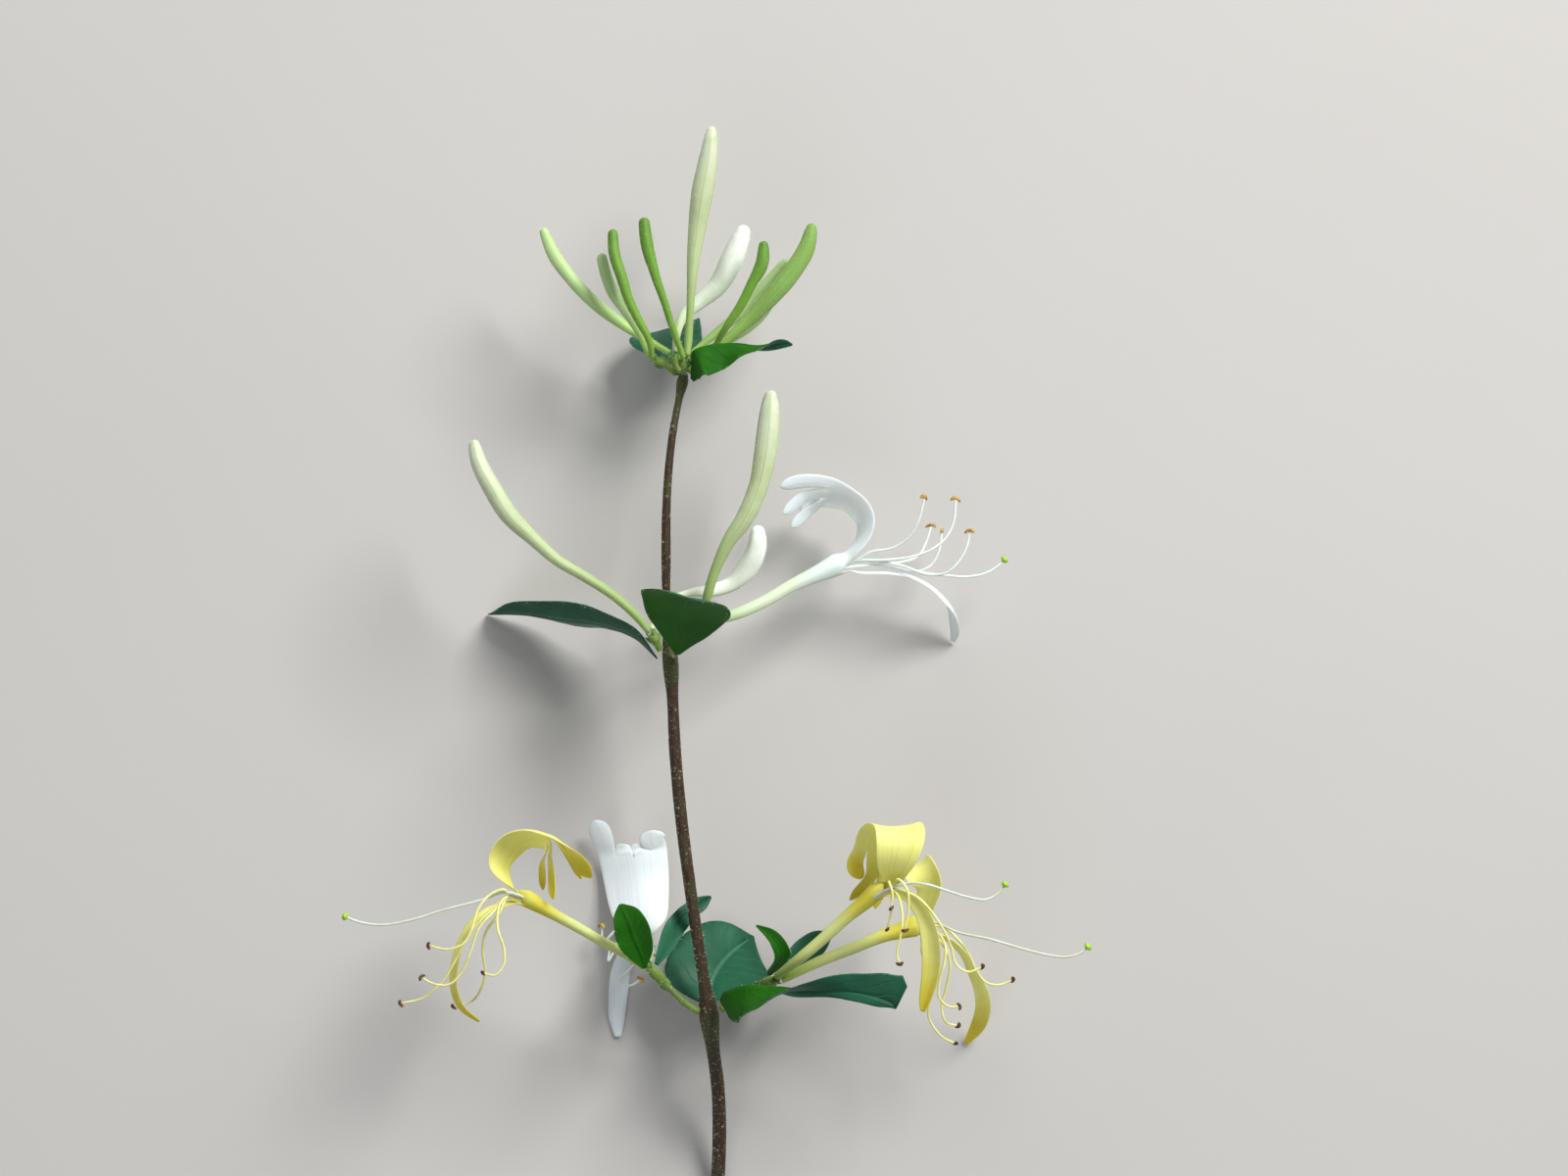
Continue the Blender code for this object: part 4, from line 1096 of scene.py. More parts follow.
@dataclass(frozen=True)
class Leaf:
    """A leaf: two half blades on a midrib, an upper and an under face, sunken veins and a waved rim."""

    name: str
    knots: Knots
    first: tuple[Vector3, ...]
    second: tuple[Vector3, ...]
    turned: bool = False
    rows: int = 46
    columns: int = 25
    thickness: float = 0.26
    wave: float = 0.16
    wave_turns: float = 17.0
    quilt: float = 0.1
    vein_pairs: float = 8.0
    midrib: float = 0.22
    bow: float = 0.12
    full_half_width: float = 4.0
    hairy_from: float = 0.93

    def faces(self) -> tuple[np.ndarray, np.ndarray]:
        """Shapes the leaf.

        Returns:
            The grids of its upper and its under face.
        """
        grid = sheet(Route(self.knots), self.first, self.rows, self.columns, second=self.second)
        normals = unit(np.cross(np.gradient(grid, axis=0), np.gradient(grid, axis=1)))
        if self.turned:
            normals = -normals
        across = np.linspace(-1.0, 1.0, self.columns)[None, :]
        u = np.abs(across)
        v = np.linspace(0.0, 1.0, self.rows)[:, None]
        half = np.linalg.norm(grid[:, 0] - grid[:, -1], axis=1)[:, None] / 2
        size = np.minimum(half / self.full_half_width, 1.0)
        phase = np.random.default_rng(len(self.name)).uniform(0.0, 6.0)
        wave = self.wave * u**2 * np.sin(v * self.wave_turns + phase + 2.0 * (across > 0))
        quilt = self.quilt * np.abs(np.sin((v - 0.3 * u) * self.vein_pairs * math.pi)) * u * (1.0 - u**4)
        trough = -self.midrib * np.exp(-((u / 0.07) ** 2))
        bow = self.bow * np.sin(u * math.pi)
        grid = grid + normals * (size * (wave + quilt + trough + bow))[:, :, None]
        thick = self.thickness / 2 * (1.0 - 0.75 * u**6) * np.ones_like(v)
        keel = self.midrib * size * np.exp(-((u / 0.09) ** 2))
        return grid + normals * thick[:, :, None], grid - normals * (thick + keel)[:, :, None]

    def build(self, wardrobe: Wardrobe) -> bpy.types.Object:
        """Builds the leaf, closed round its rim and hairy only there.

        Args:
            wardrobe: where its finishes come from.

        Returns:
            The leaf.
        """
        draft = MeshDraft()
        upper, under = (draft.add_grid(grid, slot) for slot, grid in enumerate(self.faces()))
        last, end = self.rows - 1, self.columns - 1
        rim = [(row, 0) for row in range(last)]
        rim += [(last, column) for column in range(end)]
        rim += [(row, end) for row in range(last, 0, -1)]
        rim += [(0, column) for column in range(end, 0, -1)]
        for pair in zip(rim, rim[1:] + rim[:1]):
            i, j = (row * self.columns + column for row, column in pair)
            here, there = ((column / end, row / last) for row, column in pair)
            draft.add_face((upper + i, upper + j, under + j, under + i), (here, there, there, here), 0)
        hairy = np.abs(np.linspace(1.0, -1.0, self.columns)) > self.hairy_from
        draft.weights = np.tile(hairy.astype(float), 2 * self.rows).tolist()
        return draft.build(f"{self.name}_blade", [wardrobe.get(LEAF_UPPER), wardrobe.get(LEAF_UNDER)])


@dataclass(frozen=True)
class Lip:
    """A lip of a flower: its route with half widths, its directions across and how far its edges turn."""

    knots: Knots
    across: tuple[Vector3, ...]
    curl: float = 0.4


@dataclass(frozen=True)
class Lobe:
    """A lobe of an upper lip: a place half way along it, its tip and its half width."""

    middle: Vector3
    tip: Vector3
    half_width: float


@dataclass(frozen=True)
class Throat:
    """The mouth of a tube: its middle, its radius, its directions and its rim."""

    centre: np.ndarray
    radius: float
    ahead: np.ndarray
    up: np.ndarray
    rim: Edge


@dataclass(frozen=True)
class Flower:
    """An open flower: a tube that parts into an upper lip of four lobes and a narrow lower lip."""

    name: str
    tone: PetalTone
    seat: Seat
    tube: Knots
    upper: Lip
    lobes: tuple[Lobe, ...]
    lobe_across: Vector3
    lower: Lip
    collar: Vector3
    threads: tuple[tuple[Vector3, ...], ...]
    style: tuple[Vector3, ...]
    foot_radius: float = 0.6
    petal_thickness: float = 0.2
    upper_columns: int = 16
    lower_columns: int = 4
    tube_rows: int = 26
    band_rows: int = 20
    lobe_rows: int = 12
    lower_rows: int = 30
    blend_rows: int = 7
    blend_reach: float = 4.0
    flutes: float = 0.03
    lobe_fullness: float = 1.15
    lobe_cup: float = 0.28
    inside_row: int = -6

    def slot(self) -> Slot:
        """The slot of its petals."""
        return Slot.PETAL_WHITE if self.tone is PetalTone.WHITE else Slot.PETAL_YELLOW

    def tube_line(self) -> np.ndarray:
        """The middle of the tube, with its radius as the fourth column."""
        return Route(((*self.seat.point(), self.foot_radius), *self.tube)).rows(self.tube_rows)

    def corolla(self, wardrobe: Wardrobe) -> bpy.types.Object:
        """Builds the tube and both lips as one thin sheet with a thickness.

        Args:
            wardrobe: where its finish comes from.

        Returns:
            The corolla.
        """
        draft = MeshDraft()
        throat = self.add_tube(draft)
        self.add_upper_lip(draft, throat)
        self.add_lower_lip(draft, throat)
        obj = draft.build(f"{self.name}_corolla", [wardrobe.get(self.tone.value)])
        solidify = obj.modifiers.new("thickness", "SOLIDIFY")
        solidify.thickness = self.petal_thickness * MM
        solidify.offset = 0.0
        solidify.use_even_offset = False
        subdivide = obj.modifiers.new("smooth", "SUBSURF")
        subdivide.levels = 1
        subdivide.render_levels = 1
        return finished(obj)

    def add_tube(self, draft: MeshDraft) -> Throat:
        """Adds the tube, with its columns counted from one side of the upper lip.

        Args:
            draft: the draft that it goes into.

        Returns:
            The throat that it opens into.
        """
        line = self.tube_line()
        ahead = tangents(line[:, :3])[-1]
        up = np.array(self.upper.knots[1][:3]) - np.array(self.lower.knots[1][:3])
        up = unit(up - ahead * (up @ ahead))
        first, second = ring_frames(line[:, :3])
        total = self.upper_columns + self.lower_columns
        turn = math.atan2(up @ second[-1], up @ first[-1]) - math.pi * self.upper_columns / total
        rings = round_rings(line, total, self.flutes, turn=turn)
        return Throat(line[-1, :3], line[-1, 3], ahead, up, draft.add_rings(rings, (0.0, TUBE_END)))

    def strip(
        self, lip: Lip, root: tuple[float, ...], count: int, edge: Edge, ahead: np.ndarray
    ) -> np.ndarray:
        """A lip that starts on the rim of the tube and turns into a strip along its own route.

        Args:
            lip: its route, directions and curl.
            root: the knot in the throat that its route starts from.
            count: rows along it.
            edge: the stretch of the rim that it starts on.
            ahead: the direction of the tube there.

        Returns:
            Rows, columns and three coordinates.
        """
        rim = edge.points
        grid = sheet(Route((root, *lip.knots)), (lip.across[0], *lip.across), count, len(rim), lip.curl)
        if np.linalg.norm(grid[1, 0] - rim[0]) > np.linalg.norm(grid[1, -1] - rim[0]):
            grid = grid[:, ::-1]
        run = run_lengths(grid[:, len(rim) // 2])
        reach = min(run[self.blend_rows], self.blend_reach)
        share = smooth(run / reach)
        for row in range(count):
            straight = rim + ahead * min(run[row], reach) * 0.8
            grid[row] = (1.0 - share[row]) * straight + share[row] * grid[row]
        return grid

    def add_upper_lip(self, draft: MeshDraft, throat: Throat) -> None:
        """Adds the upper lip, from the rim of the tube to the tips of its lobes.

        Args:
            draft: the draft that it goes into.
            throat: where it starts.
        """
        edge = throat.rim.part(0, self.upper_columns + 1)
        root = (*(throat.centre + throat.up * throat.radius * 0.9), throat.radius * 1.1)
        grid = self.strip(self.upper, root, self.band_rows, edge, throat.ahead)
        edge = draft.grow(edge, grid[1:], (TUBE_END, BAND_END))
        ahead = unit(grid[-1].mean(axis=0) - grid[-2].mean(axis=0))
        chord = edge.points[0] - edge.points[-1]
        lobes = self.lobes
        if chord @ (np.array(lobes[0].tip) - np.array(lobes[-1].tip)) < 0:
            lobes = lobes[::-1]
        cross = unit(np.array(self.lobe_across))
        if chord @ cross < 0:
            cross = -cross
        per = self.upper_columns // len(lobes)
        for number, lobe in enumerate(lobes):
            self.add_lobe(draft, lobe, edge.part(number * per, number * per + per + 1), ahead, cross)

    def add_lobe(
        self, draft: MeshDraft, lobe: Lobe, edge: Edge, ahead: np.ndarray, cross: np.ndarray
    ) -> None:
        """Adds one lobe of the upper lip.

        Args:
            draft: the draft that it goes into.
            lobe: its places and its width.
            edge: the stretch of the lip that it grows from.
            ahead: the direction of the lip there.
            cross: the direction across its tip.
        """
        base = edge.points
        centre = base[len(base) // 2]
        line = Route((centre - ahead * 0.6, centre, lobe.middle, lobe.tip)).rows(3 * self.lobe_rows)
        begin = int(np.argmin(np.linalg.norm(line - centre, axis=1)))
        line = line[np.linspace(begin, len(line) - 1, self.lobe_rows + 1).round().astype(int)]
        along = tangents(line)
        chord = base[0] - base[-1]
        half = np.linalg.norm(chord) / 2
        off = np.linspace(1.0, -1.0, len(base))[:, None]
        bulge = base - (base[0] + base[-1]) / 2 - off * chord / 2
        grid = []
        for row in range(1, self.lobe_rows + 1):
            share = row / self.lobe_rows
            width = half + (self.lobe_fullness * lobe.half_width - half) * min(1.5 * share, 1.0)
            width *= max(1.0 - share**5, 0.02) ** 0.5
            turned = (1.0 - smooth(share)) * unit(chord) + smooth(share) * cross
            turned = unit(turned - along[row] * (turned @ along[row]))
            cup = self.lobe_cup * width * share * (off**2 - 0.4) * np.cross(turned, along[row])
            grid.append(line[row] + off * turned * width + bulge * (1.0 - share) + cup)
        draft.grow(edge, np.array(grid), (BAND_END, 1.0))

    def add_lower_lip(self, draft: MeshDraft, throat: Throat) -> None:
        """Adds the lower lip, from the rim of the tube to its tip.

        Args:
            draft: the draft that it goes into.
            throat: where it starts.
        """
        edge = throat.rim.part(self.upper_columns, len(throat.rim.us))
        root = (*(throat.centre - throat.up * throat.radius * 0.9), throat.radius * 0.5)
        grid = self.strip(self.lower, root, self.lower_rows, edge, throat.ahead)
        draft.grow(edge, grid[1:], (TUBE_END, 1.0))

    def stamens(self, wardrobe: Wardrobe) -> bpy.types.Object:
        """Builds the stamens, which leave the tube together, with their anthers.

        Args:
            wardrobe: where their finishes come from.

        Returns:
            The stamens, as one piece.
        """
        white = self.tone is PetalTone.WHITE
        inside = self.tube_line()[self.inside_row, :3]
        collar = np.array(self.collar)
        draft = MeshDraft()
        for number, points in enumerate(self.threads):
            line = self.thread((inside, (inside + collar) / 2, collar, *points), 46, 0.3, 0.2)
            draft.add_tube(round_rings(round_nose(line, 3), 7))
            self.add_anther(draft, line[-1, :3], tangents(line[:, :3])[-1], number)
        thread = THREAD_WHITE if white else THREAD_YELLOW
        anther = ANTHER_FRESH if white else ANTHER_OLD
        return draft.build(f"{self.name}_stamens_set", [wardrobe.get(thread), wardrobe.get(anther)])

    @staticmethod
    def thread(points: tuple, count: int, start: float, end: float) -> np.ndarray:
        """The route of a thin thread.

        Args:
            points: the points that it passes through.
            count: rows along it.
            start: its radius at the start.
            end: its radius at the end.

        Returns:
            The rows, with the radius as their fourth column.
        """
        return np.column_stack([Route(points).rows(count), np.linspace(start, end, count)])

    def add_anther(self, draft: MeshDraft, at: np.ndarray, ahead: np.ndarray, number: int) -> None:
        """Adds an anther: a small bent bean with a groove, held across the end of its thread.

        Args:
            draft: the draft that it goes into.
            at: the end of the thread.
            ahead: the direction of the thread there.
            number: the number of the stamen, which settles how it is turned.
        """
        length = 1.0 if self.tone is PetalTone.WHITE else 0.7
        tilt = unit(np.array((math.sin(number * 2.1), math.cos(number * 1.7), 0.4)))
        along = unit(ahead * 0.15 + unit(tilt - ahead * (tilt @ ahead)))
        bend = unit(np.cross(along, ahead) + 1e-6)
        spine = []
        for share in np.linspace(-1.0, 1.0, 13):
            sag = (bend * 0.15 - ahead * 0.6 * length) * share**2
            place = at + ahead * 0.3 + along * share * length + sag
            spine.append((*place, 0.33 * max(1.0 - abs(share) ** 2.6, 0.02) ** 0.5))
        draft.add_tube(round_rings(np.array(spine), 10, flutes=0.16, flute_count=2), 1)

    def style_with_stigma(self, wardrobe: Wardrobe) -> bpy.types.Object:
        """Builds the style with its round, three-lobed stigma.

        Args:
            wardrobe: where its finishes come from.

        Returns:
            The style.
        """
        inside = self.tube_line()[self.inside_row, :3]
        line = self.thread((inside, *self.style), 60, 0.24, 0.22)
        ahead = tangents(line[:, :3])[-1]
        middle = line[-1, :3] + ahead * 0.1
        ball = [
            (*(middle + ahead * share * 0.5), 0.68 * max(1.0 - share**2, 0.01) ** 0.5)
            for share in np.linspace(-1.0, 1.0, 12)
        ]
        draft = MeshDraft()
        draft.add_tube(round_rings(line, 8))
        draft.add_tube(round_rings(np.array(ball), 14, flutes=0.1, flute_count=3), 1)
        thread = THREAD_WHITE if self.tone is PetalTone.WHITE else STYLE_LILAC
        return draft.build(f"{self.name}_style_set", [wardrobe.get(thread), wardrobe.get(STIGMA)])


@dataclass(frozen=True)
class HairCoat:
    """Short hairs over a set of pieces, laid by a Geometry Nodes tree."""

    name: str
    slot: Slot
    density: float
    length: float
    thickness: float
    lean: float
    seed: int

    @staticmethod
    def tree() -> bpy.types.NodeTree:
        """Writes the tree that covers a surface with leaning three-sided cones, once.

        Returns:
            The tree.
        """
        if "hair_coat" in bpy.data.node_groups:
            return bpy.data.node_groups["hair_coat"]
        tree = bpy.data.node_groups.new("hair_coat", "GeometryNodeTree")
        face = tree.interface
        face.new_socket("Geometry", in_out="INPUT", socket_type="NodeSocketGeometry")
        for label in ("Density", "Length", "Thickness", "Lean"):
            face.new_socket(label, in_out="INPUT", socket_type="NodeSocketFloat")
        face.new_socket("Seed", in_out="INPUT", socket_type="NodeSocketInt")
        face.new_socket("Material", in_out="INPUT", socket_type="NodeSocketMaterial")
        face.new_socket("Geometry", in_out="OUTPUT", socket_type="NodeSocketGeometry")
        new = tree.nodes.new
        start, end = new("NodeGroupInput").outputs, new("NodeGroupOutput").inputs
        weight = new("GeometryNodeInputNamedAttribute")
        weight.data_type = "FLOAT"
        weight.inputs["Name"].default_value = HAIR_WEIGHT
        density = new("ShaderNodeMath")
        density.operation = "MULTIPLY"
        scatter = new("GeometryNodeDistributePointsOnFaces")
        cone = new("GeometryNodeMeshCone")
        cone.fill_type = "NONE"
        cone.inputs["Vertices"].default_value = 3
        cone.inputs["Radius Top"].default_value = 0.0
        size = new("FunctionNodeRandomValue")
        size.inputs[2].default_value = 0.5
        size.inputs[3].default_value = 1.15
        stand = new("GeometryNodeInstanceOnPoints")
        least, most = (new("ShaderNodeVectorMath") for _ in range(2))
        least.operation = most.operation = "SCALE"
        least.inputs[0].default_value = (-1.0, -1.0, 0.0)
        most.inputs[0].default_value = (1.0, 1.0, 3.0)
        lean = new("FunctionNodeRandomValue")
        lean.data_type = "FLOAT_VECTOR"
        tip = new("GeometryNodeRotateInstances")
        real = new("GeometryNodeRealizeInstances")
        paint = new("GeometryNodeSetMaterial")
        for source, target in (
            (start["Density"], density.inputs[0]),
            (weight.outputs["Attribute"], density.inputs[1]),
            (start["Geometry"], scatter.inputs["Mesh"]),
            (density.outputs[0], scatter.inputs["Density"]),
            (start["Seed"], scatter.inputs["Seed"]),
            (start["Thickness"], cone.inputs["Radius Bottom"]),
            (start["Length"], cone.inputs["Depth"]),
            (start["Seed"], size.inputs["Seed"]),
            (scatter.outputs["Points"], stand.inputs["Points"]),
            (cone.outputs["Mesh"], stand.inputs["Instance"]),
            (scatter.outputs["Rotation"], stand.inputs["Rotation"]),
            (size.outputs[1], stand.inputs["Scale"]),
            (start["Lean"], least.inputs["Scale"]),
            (start["Lean"], most.inputs["Scale"]),
            (least.outputs[0], lean.inputs[0]),
            (most.outputs[0], lean.inputs[1]),
            (stand.outputs["Instances"], tip.inputs["Instances"]),
            (lean.outputs[0], tip.inputs["Rotation"]),
            (tip.outputs["Instances"], real.inputs["Geometry"]),
            (real.outputs["Geometry"], paint.inputs["Geometry"]),
            (start["Material"], paint.inputs["Material"]),
            (paint.outputs["Geometry"], end["Geometry"]),
        ):
            tree.links.new(source, target)
        return tree

    def build(self, sources: list[bpy.types.Object], wardrobe: Wardrobe) -> bpy.types.Object:
        """Covers pieces with hairs.

        Args:
            sources: the pieces that the hairs grow on.
            wardrobe: where the hair's finish comes from.

        Returns:
            One plain mesh of hairs.
        """
        built = bmesh.new()
        for source in sources:
            built.from_mesh(source.data)
        mesh = bpy.data.meshes.new(self.name)
        built.to_mesh(mesh)
        built.free()
        mesh.materials.clear()
        mesh.materials.append(wardrobe.get(HAIR))
        obj = bpy.data.objects.new(self.name, mesh)
        bpy.context.scene.collection.objects.link(obj)
        modifier = obj.modifiers.new("hair_coat", "NODES")
        modifier.node_group = self.tree()
        values = {
            "Density": self.density / MM**2,
            "Length": self.length * MM,
            "Thickness": self.thickness * MM,
            "Lean": self.lean,
            "Seed": self.seed,
            "Material": wardrobe.get(HAIR),
        }
        for item in modifier.node_group.interface.items_tree:
            if item.in_out == "INPUT" and item.name in values:
                modifier[item.identifier] = values[item.name]
        return finished(obj)


@dataclass(frozen=True)
class SoftLight:
    """A large round light that points at the shoot, with its place and size in metres."""

    name: str
    at: Vector3
    size: float
    power: float
    colour: Colour

    def build(self) -> None:
        """Adds the light to the scene."""
        data = bpy.data.lights.new(self.name, "AREA")
        data.shape = "DISK"
        data.size = self.size
        data.energy = self.power
        data.color = self.colour
        obj = bpy.data.objects.new(self.name, data)
        obj.location = self.at
        obj.rotation_euler = (-Vector(self.at)).to_track_quat("-Z", "Y").to_euler()
        bpy.context.scene.collection.objects.link(obj)


@dataclass(frozen=True)
class Studio:
    """The pale floor, the soft lights and the camera that looks straight down."""

    centre: tuple[float, float] = (11.56, 16.32)
    reference_height: float = 22.0
    distance: float = 1600.0
    frame_width: float = 272.0
    sensor: float = 36.0
    floor_size: float = 6.0
    sky: Colour = (0.92, 0.95, 1.0)
    sky_strength: float = 0.27
    lights: tuple[SoftLight, ...] = (
        SoftLight("key", (0.7, 0.85, 0.95), size=0.6, power=26.5, colour=(1.0, 0.99, 0.96)),
        SoftLight("fill", (-0.5, -0.9, 1.1), size=1.2, power=4.0, colour=(0.92, 0.96, 1.0)),
        SoftLight("rim", (-0.3, 1.1, 0.6), size=0.8, power=3.0, colour=(1.0, 0.99, 0.97)),
    )

    def build(self, wardrobe: Wardrobe) -> None:
        """Adds the floor, the lights, the sky and the camera.

        Args:
            wardrobe: where the floor's finish comes from.
        """
        bpy.ops.mesh.primitive_plane_add(size=self.floor_size, location=(0.0, 0.0, 0.0))
        floor = bpy.context.object
        floor.name = "floor"
        floor.data.materials.append(wardrobe.get(FLOOR))
        for light in self.lights:
            light.build()
        world = bpy.data.worlds.new("studio")
        world.use_nodes = True
        background = world.node_tree.nodes["Background"]
        background.inputs["Color"].default_value = (*self.sky, 1.0)
        background.inputs["Strength"].default_value = self.sky_strength
        bpy.context.scene.world = world
        bpy.context.scene.view_settings.view_transform = "Standard"
        self.build_camera()

    def build_camera(self) -> None:
        """Adds the camera, whose frame is frame_width wide at the reference height."""
        camera = bpy.data.cameras.new("camera")
        camera.sensor_width = self.sensor
        camera.lens = self.sensor * self.distance / self.frame_width
        camera.clip_start = 0.01
        camera.clip_end = 20.0
        obj = bpy.data.objects.new("camera", camera)
        obj.location = Vector((*self.centre, self.reference_height + self.distance)) * MM
        bpy.context.scene.collection.objects.link(obj)
        bpy.context.scene.camera = obj


STEM = MainStem(
    knots=(
        (-0.5, -96.1, 1.27, 1.25), (-0.2, -89.9, 1.6, 1.22), (0.2, -81.4, 4.0, 1.2),
        (0.0, -71.2, 8.0, 1.15), (-0.9, -63.6, 12.0, 1.2), (-1.5, -58.2, 14.6, 1.7),
        (-2.2, -53.0, 16.0, 1.1), (-3.2, -46.6, 17.0, 1.0), (-4.8, -35.5, 18.5, 1.02),
        (-6.3, -23.6, 19.5, 1.05), (-7.3, -12.6, 20.5, 1.02), (-7.8, -2.4, 21.0, 1.0),
        (-8.2, 4.2, 21.0, 1.35), (-8.6, 8.5, 21.2, 0.85), (-8.9, 22.3, 22.0, 0.8),
        (-8.7, 33.3, 22.0, 0.72), (-7.7, 43.5, 21.5, 0.65), (-6.6, 49.5, 20.7, 0.65),
        (-6.0, 52.6, 20.0, 0.95), (-5.9, 53.6, 19.8, 0.7),
    ),
)

# The last two knots of a stalk are the ovary and the rim of the calyx.
STALKS: dict[str, Stalk] = {
    stalk.name: stalk
    for stalk in (
        Stalk(
            name="stalk_top_left",
            knots=(
                (-7.25, 53.6, 20.4, 0.55), (-8.9, 54.9, 21.7, 0.6), (-10.0, 55.5, 22.2, 0.85),
                (-10.9, 56.0, 22.5, 0.6),
            ),
        ),
        Stalk(
            name="stalk_top_back",
            knots=(
                (-6.6, 53.9, 18.3, 0.45), (-7.2, 54.9, 17.6, 0.5), (-7.5, 55.8, 17.2, 0.8),
                (-7.7, 56.7, 17.0, 0.6),
            ),
        ),
        Stalk(
            name="stalk_top_front",
            knots=(
                (-5.9, 53.6, 21.4, 0.45), (-5.8, 54.2, 22.3, 0.5), (-5.7, 54.9, 23.0, 0.8),
                (-5.6, 55.8, 23.5, 0.6),
            ),
        ),
        Stalk(
            name="stalk_top_right",
            knots=(
                (-4.65, 53.5, 19.9, 0.45), (-2.8, 56.2, 19.6, 0.5), (-1.8, 57.1, 19.8, 0.85),
                (-1.0, 57.8, 20.0, 0.6),
            ),
        ),
        Stalk(
            name="stalk_top_right_back",
            knots=(
                (-5.0, 54.0, 17.9, 0.45), (-4.7, 55.0, 16.8, 0.5), (-4.4, 55.8, 16.0, 0.8),
                (-4.1, 56.6, 15.4, 0.6),
            ),
        ),
        Stalk(
            name="stalk_middle_left",
            knots=(
                (-9.9, 5.6, 21.7, 0.6), (-10.5, 6.7, 22.3, 0.7), (-10.9, 7.5, 22.7, 0.95),
                (-11.4, 8.3, 22.9, 0.7),
            ),
        ),
        Stalk(
            name="stalk_middle_right",
            knots=(
                (-6.8, 5.6, 20.2, 0.5), (-5.0, 8.0, 19.4, 0.5), (-3.8, 9.6, 19.3, 0.9),
                (-3.0, 10.4, 19.4, 0.7),
            ),
        ),
        Stalk(
            name="branchlet_low_left",
            knots=(
                (-3.45, -57.4, 15.9, 0.6), (-5.4, -56.1, 18.0, 0.6), (-8.8, -52.7, 21.5, 0.6),
                (-10.7, -50.6, 23.2, 1.1), (-11.9, -49.3, 24.1, 0.7),
            ),
        ),
        Stalk(
            name="branchlet_low_right",
            knots=(
                (0.6, -57.2, 14.6, 0.6), (3.1, -55.4, 15.2, 0.6), (7.0, -53.2, 17.6, 0.6),
                (9.3, -52.1, 20.6, 1.1), (10.3, -51.6, 21.8, 0.7),
            ),
        ),
    )
}

